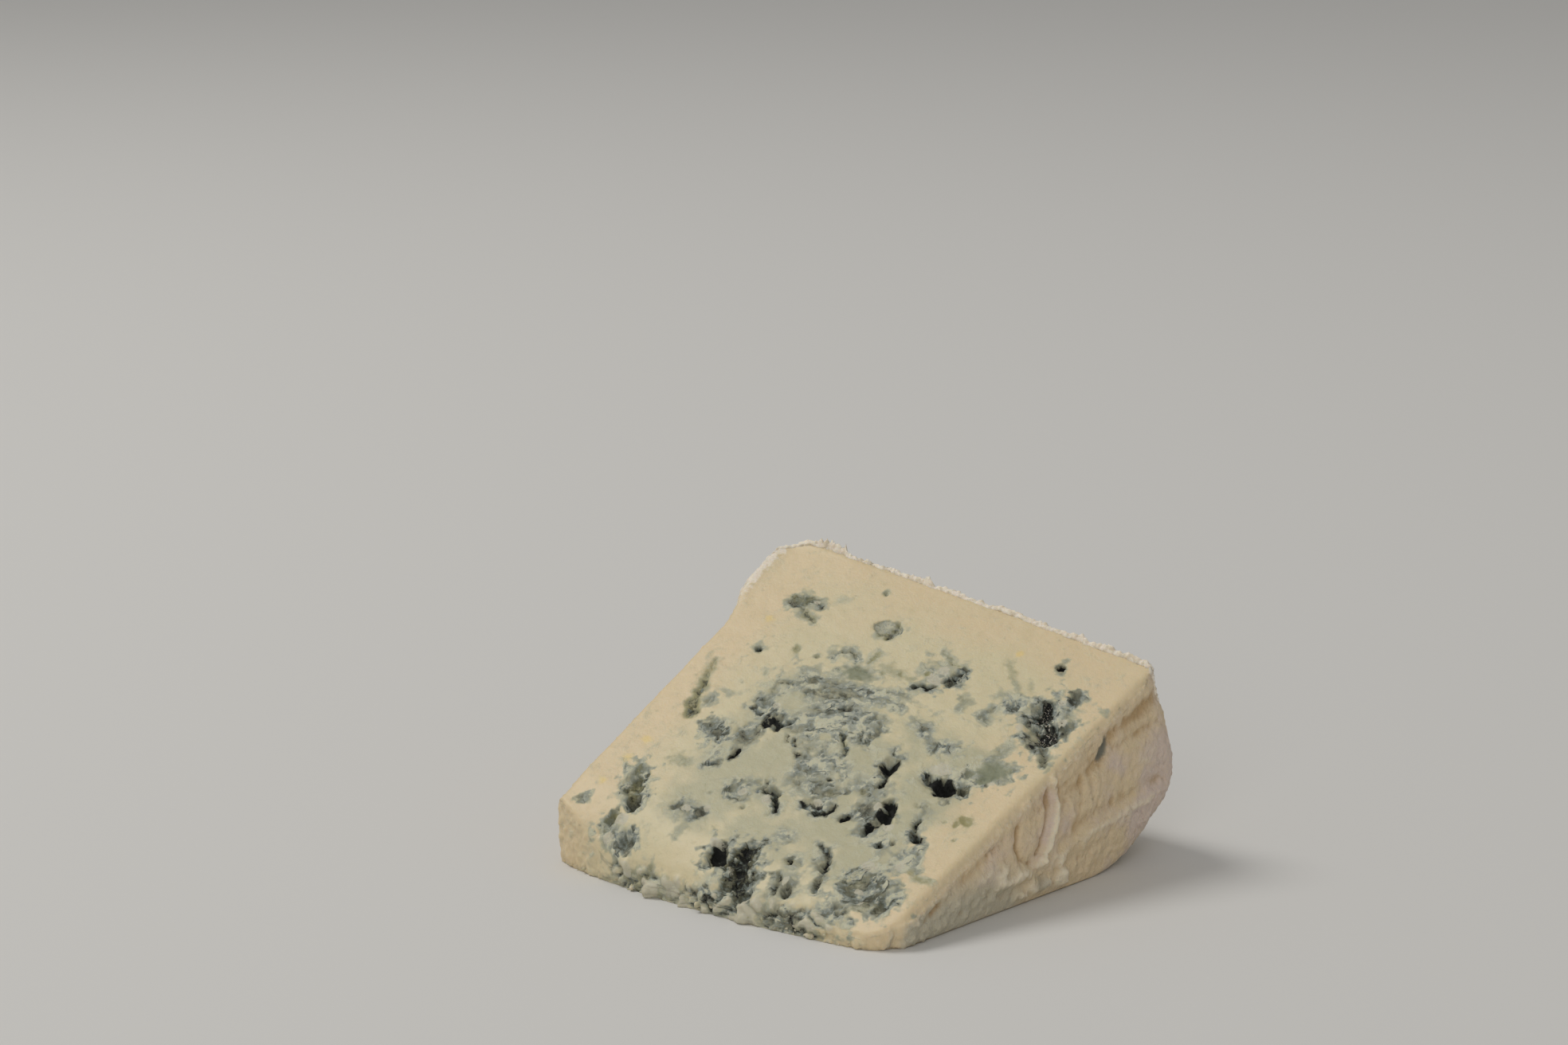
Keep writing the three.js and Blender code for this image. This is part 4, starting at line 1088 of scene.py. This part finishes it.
def at_places(places, reach, values):
    """What the values, known at each reach, are at other places along the line."""
    return np.stack([np.interp(places, reach, column) for column in values.T], axis=1)


side_part = [(0.0, share, 1.0) for share in np.linspace(0.6, 1, SIDE_STEPS)]
rear_part = [(share, 1.0, 1.0) for share in np.linspace(0, 1, REAR_STEPS)]
down_part = [(1.0, 1.0, share) for share in np.linspace(1, 0.4, DOWN_STEPS)]
edge_line = wedge_points(np.array(side_part + rear_part + down_part))
reach = line_reach(edge_line)
stations = np.linspace(0, reach[-1], FRILL_CUTS[0] + 2)
edge_line = at_places(stations, reach, edge_line)
run = np.gradient(edge_line, axis=0)
outward = np.stack([-run[:, 1], run[:, 0], 0 * stations], axis=1)
outward[stations > reach[-1 - DOWN_STEPS]] = CORNER_WAY
outward /= np.maximum(np.linalg.norm(outward, axis=1), TINY)[:, None]
for station, way in enumerate(outward):
    aim = Vector((edge_line[station] + FRILL_OUT * way + (0, 0, FRILL_UP) - (0, TIP_TO_MIDDLE, 0)) * MM)
    edge_line[station] = np.array(cheese.closest_point_on_mesh(aim)[1]) / MM + (0, TIP_TO_MIDDLE, 0)
for _ in range(4):
    edge_line[1:-1] = (edge_line[:-2] + 2 * edge_line[1:-1] + edge_line[2:]) / 4
    outward[1:-1] = (outward[:-2] + 2 * outward[1:-1] + outward[2:]) / 4

# Places that caught on the same bump of the edge are spread out again along the line.
reach = line_reach(edge_line)
evenly = np.linspace(0, reach[-1], len(stations))
outward = at_places(evenly, reach, outward)
edge_line = at_places(evenly, reach, edge_line)

# The strip's section is a rough ring whose upper half is torn into flakes.
frill, cube_points = grid_cube("rim_frill", FRILL_CUTS)
station = np.round(cube_points[:, 0] * (len(stations) - 1)).astype(int)
spot, outward = edge_line[station], outward[station]
wide, high = (2 * cube_points[:, 1:] - 1).T
ring = np.maximum(np.abs(wide), np.abs(high)) / np.maximum(np.hypot(wide, high), TINY)
wide, high = wide * ring, high * ring
grow = ease(48, 66, spot[:, 1]) * ease(30, 34, spot[:, 2])
grow = grow * mix(0.5, 1, ease(-HALF - 3, -HALF + 3, spot[:, 0]))
jag = 0.45 * np.clip(rough(spot, 1.1, 181, 2) + rough(spot, 5.0, 183, 2) + 0.5, 0, 1.8)
for across_at, length, height in TALL_FLAKES:
    jag += height * hill(spot[:, 0] - across_at, length) * (0.6 + 0.6 * rough(spot, 0.8, 191, 2))
off_out = wide * FRILL_WIDE * (1 - 0.5 * np.clip(high, 0, 1))
off_up = high * (FRILL_HIGH + np.clip(high, 0, 1) * jag)
frill_points = spot + (mix(0.25, 1, grow) * off_out)[:, None] * outward
frill_points[:, 2] += mix(0.25, 1, grow) * off_up
frill_points -= FRILL_SINK * mix(0.6, 1, grow)[:, None] * (0.5 * outward + (0, 0, 0.85))
shiver = np.stack([rough(frill_points, 0.7, seed, 2) for seed in (193, 197, 199)], axis=1)
frill_points += 0.2 * mix(0.5, 1, grow)[:, None] * shiver
write_points(frill.data, frill_points)
finish_piece(frill)

# Each crumb is a ball with flat sides, which lies at the foot of the tip.
draw = np.random.default_rng(7)
crumb_shape = bmesh.new()
foot_points = np.flatnonzero((up < 1.5) & (on_tip > 0.5) & (np.abs(across) < 39))
for chosen in draw.choice(foot_points, CRUMB_COUNT):
    size = CRUMB_SMALLEST + draw.exponential(CRUMB_SPREAD)
    middle = (points[chosen] - (0, TIP_TO_MIDDLE, 0)) * MM
    sides = Matrix.Diagonal((size / 2 * MM, size / 2 * MM, 0.35 * size * MM, 1.0))
    place = Matrix.Translation(middle) @ sides
    made = bmesh.ops.create_icosphere(crumb_shape, subdivisions=2, radius=1.0, matrix=place)
    ways = draw.normal(0, 1, (CRUMB_SIDES, 3))
    for vertex in made["verts"]:
        arm = vertex.co - Vector(middle)
        facing = [max(arm.normalized().dot(Vector(way).normalized()), 0.3) for way in ways]
        flat = min(1.0 / share for share in facing) * CRUMB_CUT
        vertex.co = Vector(middle) + arm * min(flat, CRUMB_REACH)
        vertex.co.z = max(vertex.co.z, 0.02 * MM)
crumb_mesh = bpy.data.meshes.new("tip_crumbs")
crumb_shape.to_mesh(crumb_mesh)
crumb_shape.free()
crumb_piece = new_object("tip_crumbs", crumb_mesh)
finish_piece(crumb_piece)

# Torn rind is dry and chalky, and the crumbs are moist paste. Both are rough and let in a little light.
for piece, shade, name in ((frill, FRILL_TONE, "torn_rind"), (crumb_piece, CRUMB_TONE, "paste_crumb")):
    finish = bpy.data.materials.new(name)
    finish.use_nodes = True
    tree = finish.node_tree
    tree.nodes.clear()
    place = add_node(tree, "ShaderNodeTexCoord").outputs["Object"]
    grain = add_node(tree, "ShaderNodeTexNoise", {"Vector": place, "Scale": 1 / (1.2 * MM),
                     "Detail": 4.0}).outputs["Fac"]
    tinge = add_node(tree, "ShaderNodeMapRange", {"Value": grain, "From Min": 0.42, "From Max": 0.66},
                     interpolation_type="SMOOTHSTEP").outputs["Result"]
    mottled = add_node(tree, "ShaderNodeMix", {0: tinge, 6: linear(shade), 7: linear(MOTTLE_TONE)},
                       data_type="RGBA").outputs[2]
    bump = add_node(tree, "ShaderNodeBump", {"Height": grain, "Strength": 0.7,
                    "Distance": 0.2 * MM}).outputs["Normal"]
    finish_surface(piece, finish, {"Base Color": mottled, "Roughness": CRUMB_ROUGHNESS, "Normal": bump})

# ---- Board, light and camera ----
# A plain pale floor under soft studio light: a large key lamp from the upper left and a weaker fill
# from the front right. The camera stands low in front of the right end.

FLOOR_SIZE, FLOOR_ROUGHNESS = 14.0, 0.7
FLOOR_GREY = "d6d5d2"
SKY_STRENGTH = 0.36
LIGHT_AIM = Vector((0, 0, 0.02))
floor_shape = bmesh.new()
bmesh.ops.create_grid(floor_shape, x_segments=1, y_segments=1, size=FLOOR_SIZE / 2)
floor_mesh = bpy.data.meshes.new("floor")
floor_shape.to_mesh(floor_mesh)
floor_shape.free()
floor = new_object("floor", floor_mesh)
# A matt, pale board, which shows no grain and takes a soft shadow.
floor_finish = bpy.data.materials.new("pale_floor")
floor_finish.use_nodes = True
floor_shader = floor_finish.node_tree.nodes["Principled BSDF"]
floor_shader.inputs["Base Color"].default_value = linear(FLOOR_GREY)
floor_shader.inputs["Roughness"].default_value = FLOOR_ROUGHNESS
floor_mesh.materials.append(floor_finish)


def add_light(name, place, size, power, tint):
    lamp = bpy.data.lights.new(name, "AREA")
    lamp.shape = "DISK"
    lamp.size = size
    lamp.energy = power
    lamp.color = tint
    holder = new_object(name, lamp)
    holder.location = place
    holder.rotation_euler = (LIGHT_AIM - Vector(place)).to_track_quat("-Z", "Y").to_euler()


add_light("key", (-1.2, -0.4, 2.0), 1.1, 21.5, (1.0, 0.98, 0.95))
add_light("fill", (1.1, -1.9, 0.9), 1.4, 10.4, (1.0, 0.99, 0.98))

world = bpy.data.worlds.new("studio")
world.use_nodes = True
world.node_tree.nodes["Background"].inputs["Color"].default_value = (1.0, 0.99, 0.97, 1.0)
world.node_tree.nodes["Background"].inputs["Strength"].default_value = SKY_STRENGTH
bpy.context.scene.world = world
bpy.context.scene.view_settings.view_transform = "Standard"

CAMERA_AZIMUTH, CAMERA_ELEVATION = 41.61, 12.17
CAMERA_AIM = Vector((-0.2213, 0.2257, 0.0))
CAMERA_DISTANCE = 1.0455
turn, tilt = math.radians(CAMERA_AZIMUTH), math.radians(CAMERA_ELEVATION)
back = Vector((math.sin(turn) * math.cos(tilt), -math.cos(turn) * math.cos(tilt), math.sin(tilt)))
lens = bpy.data.cameras.new("camera")
lens.lens, lens.sensor_width = 85.0, 36.0
lens.clip_start, lens.clip_end = 0.01, 50.0
camera = new_object("camera", lens)
camera.location = CAMERA_AIM + CAMERA_DISTANCE * back
camera.rotation_euler = (-back).to_track_quat("-Z", "Y").to_euler()
bpy.context.scene.camera = camera
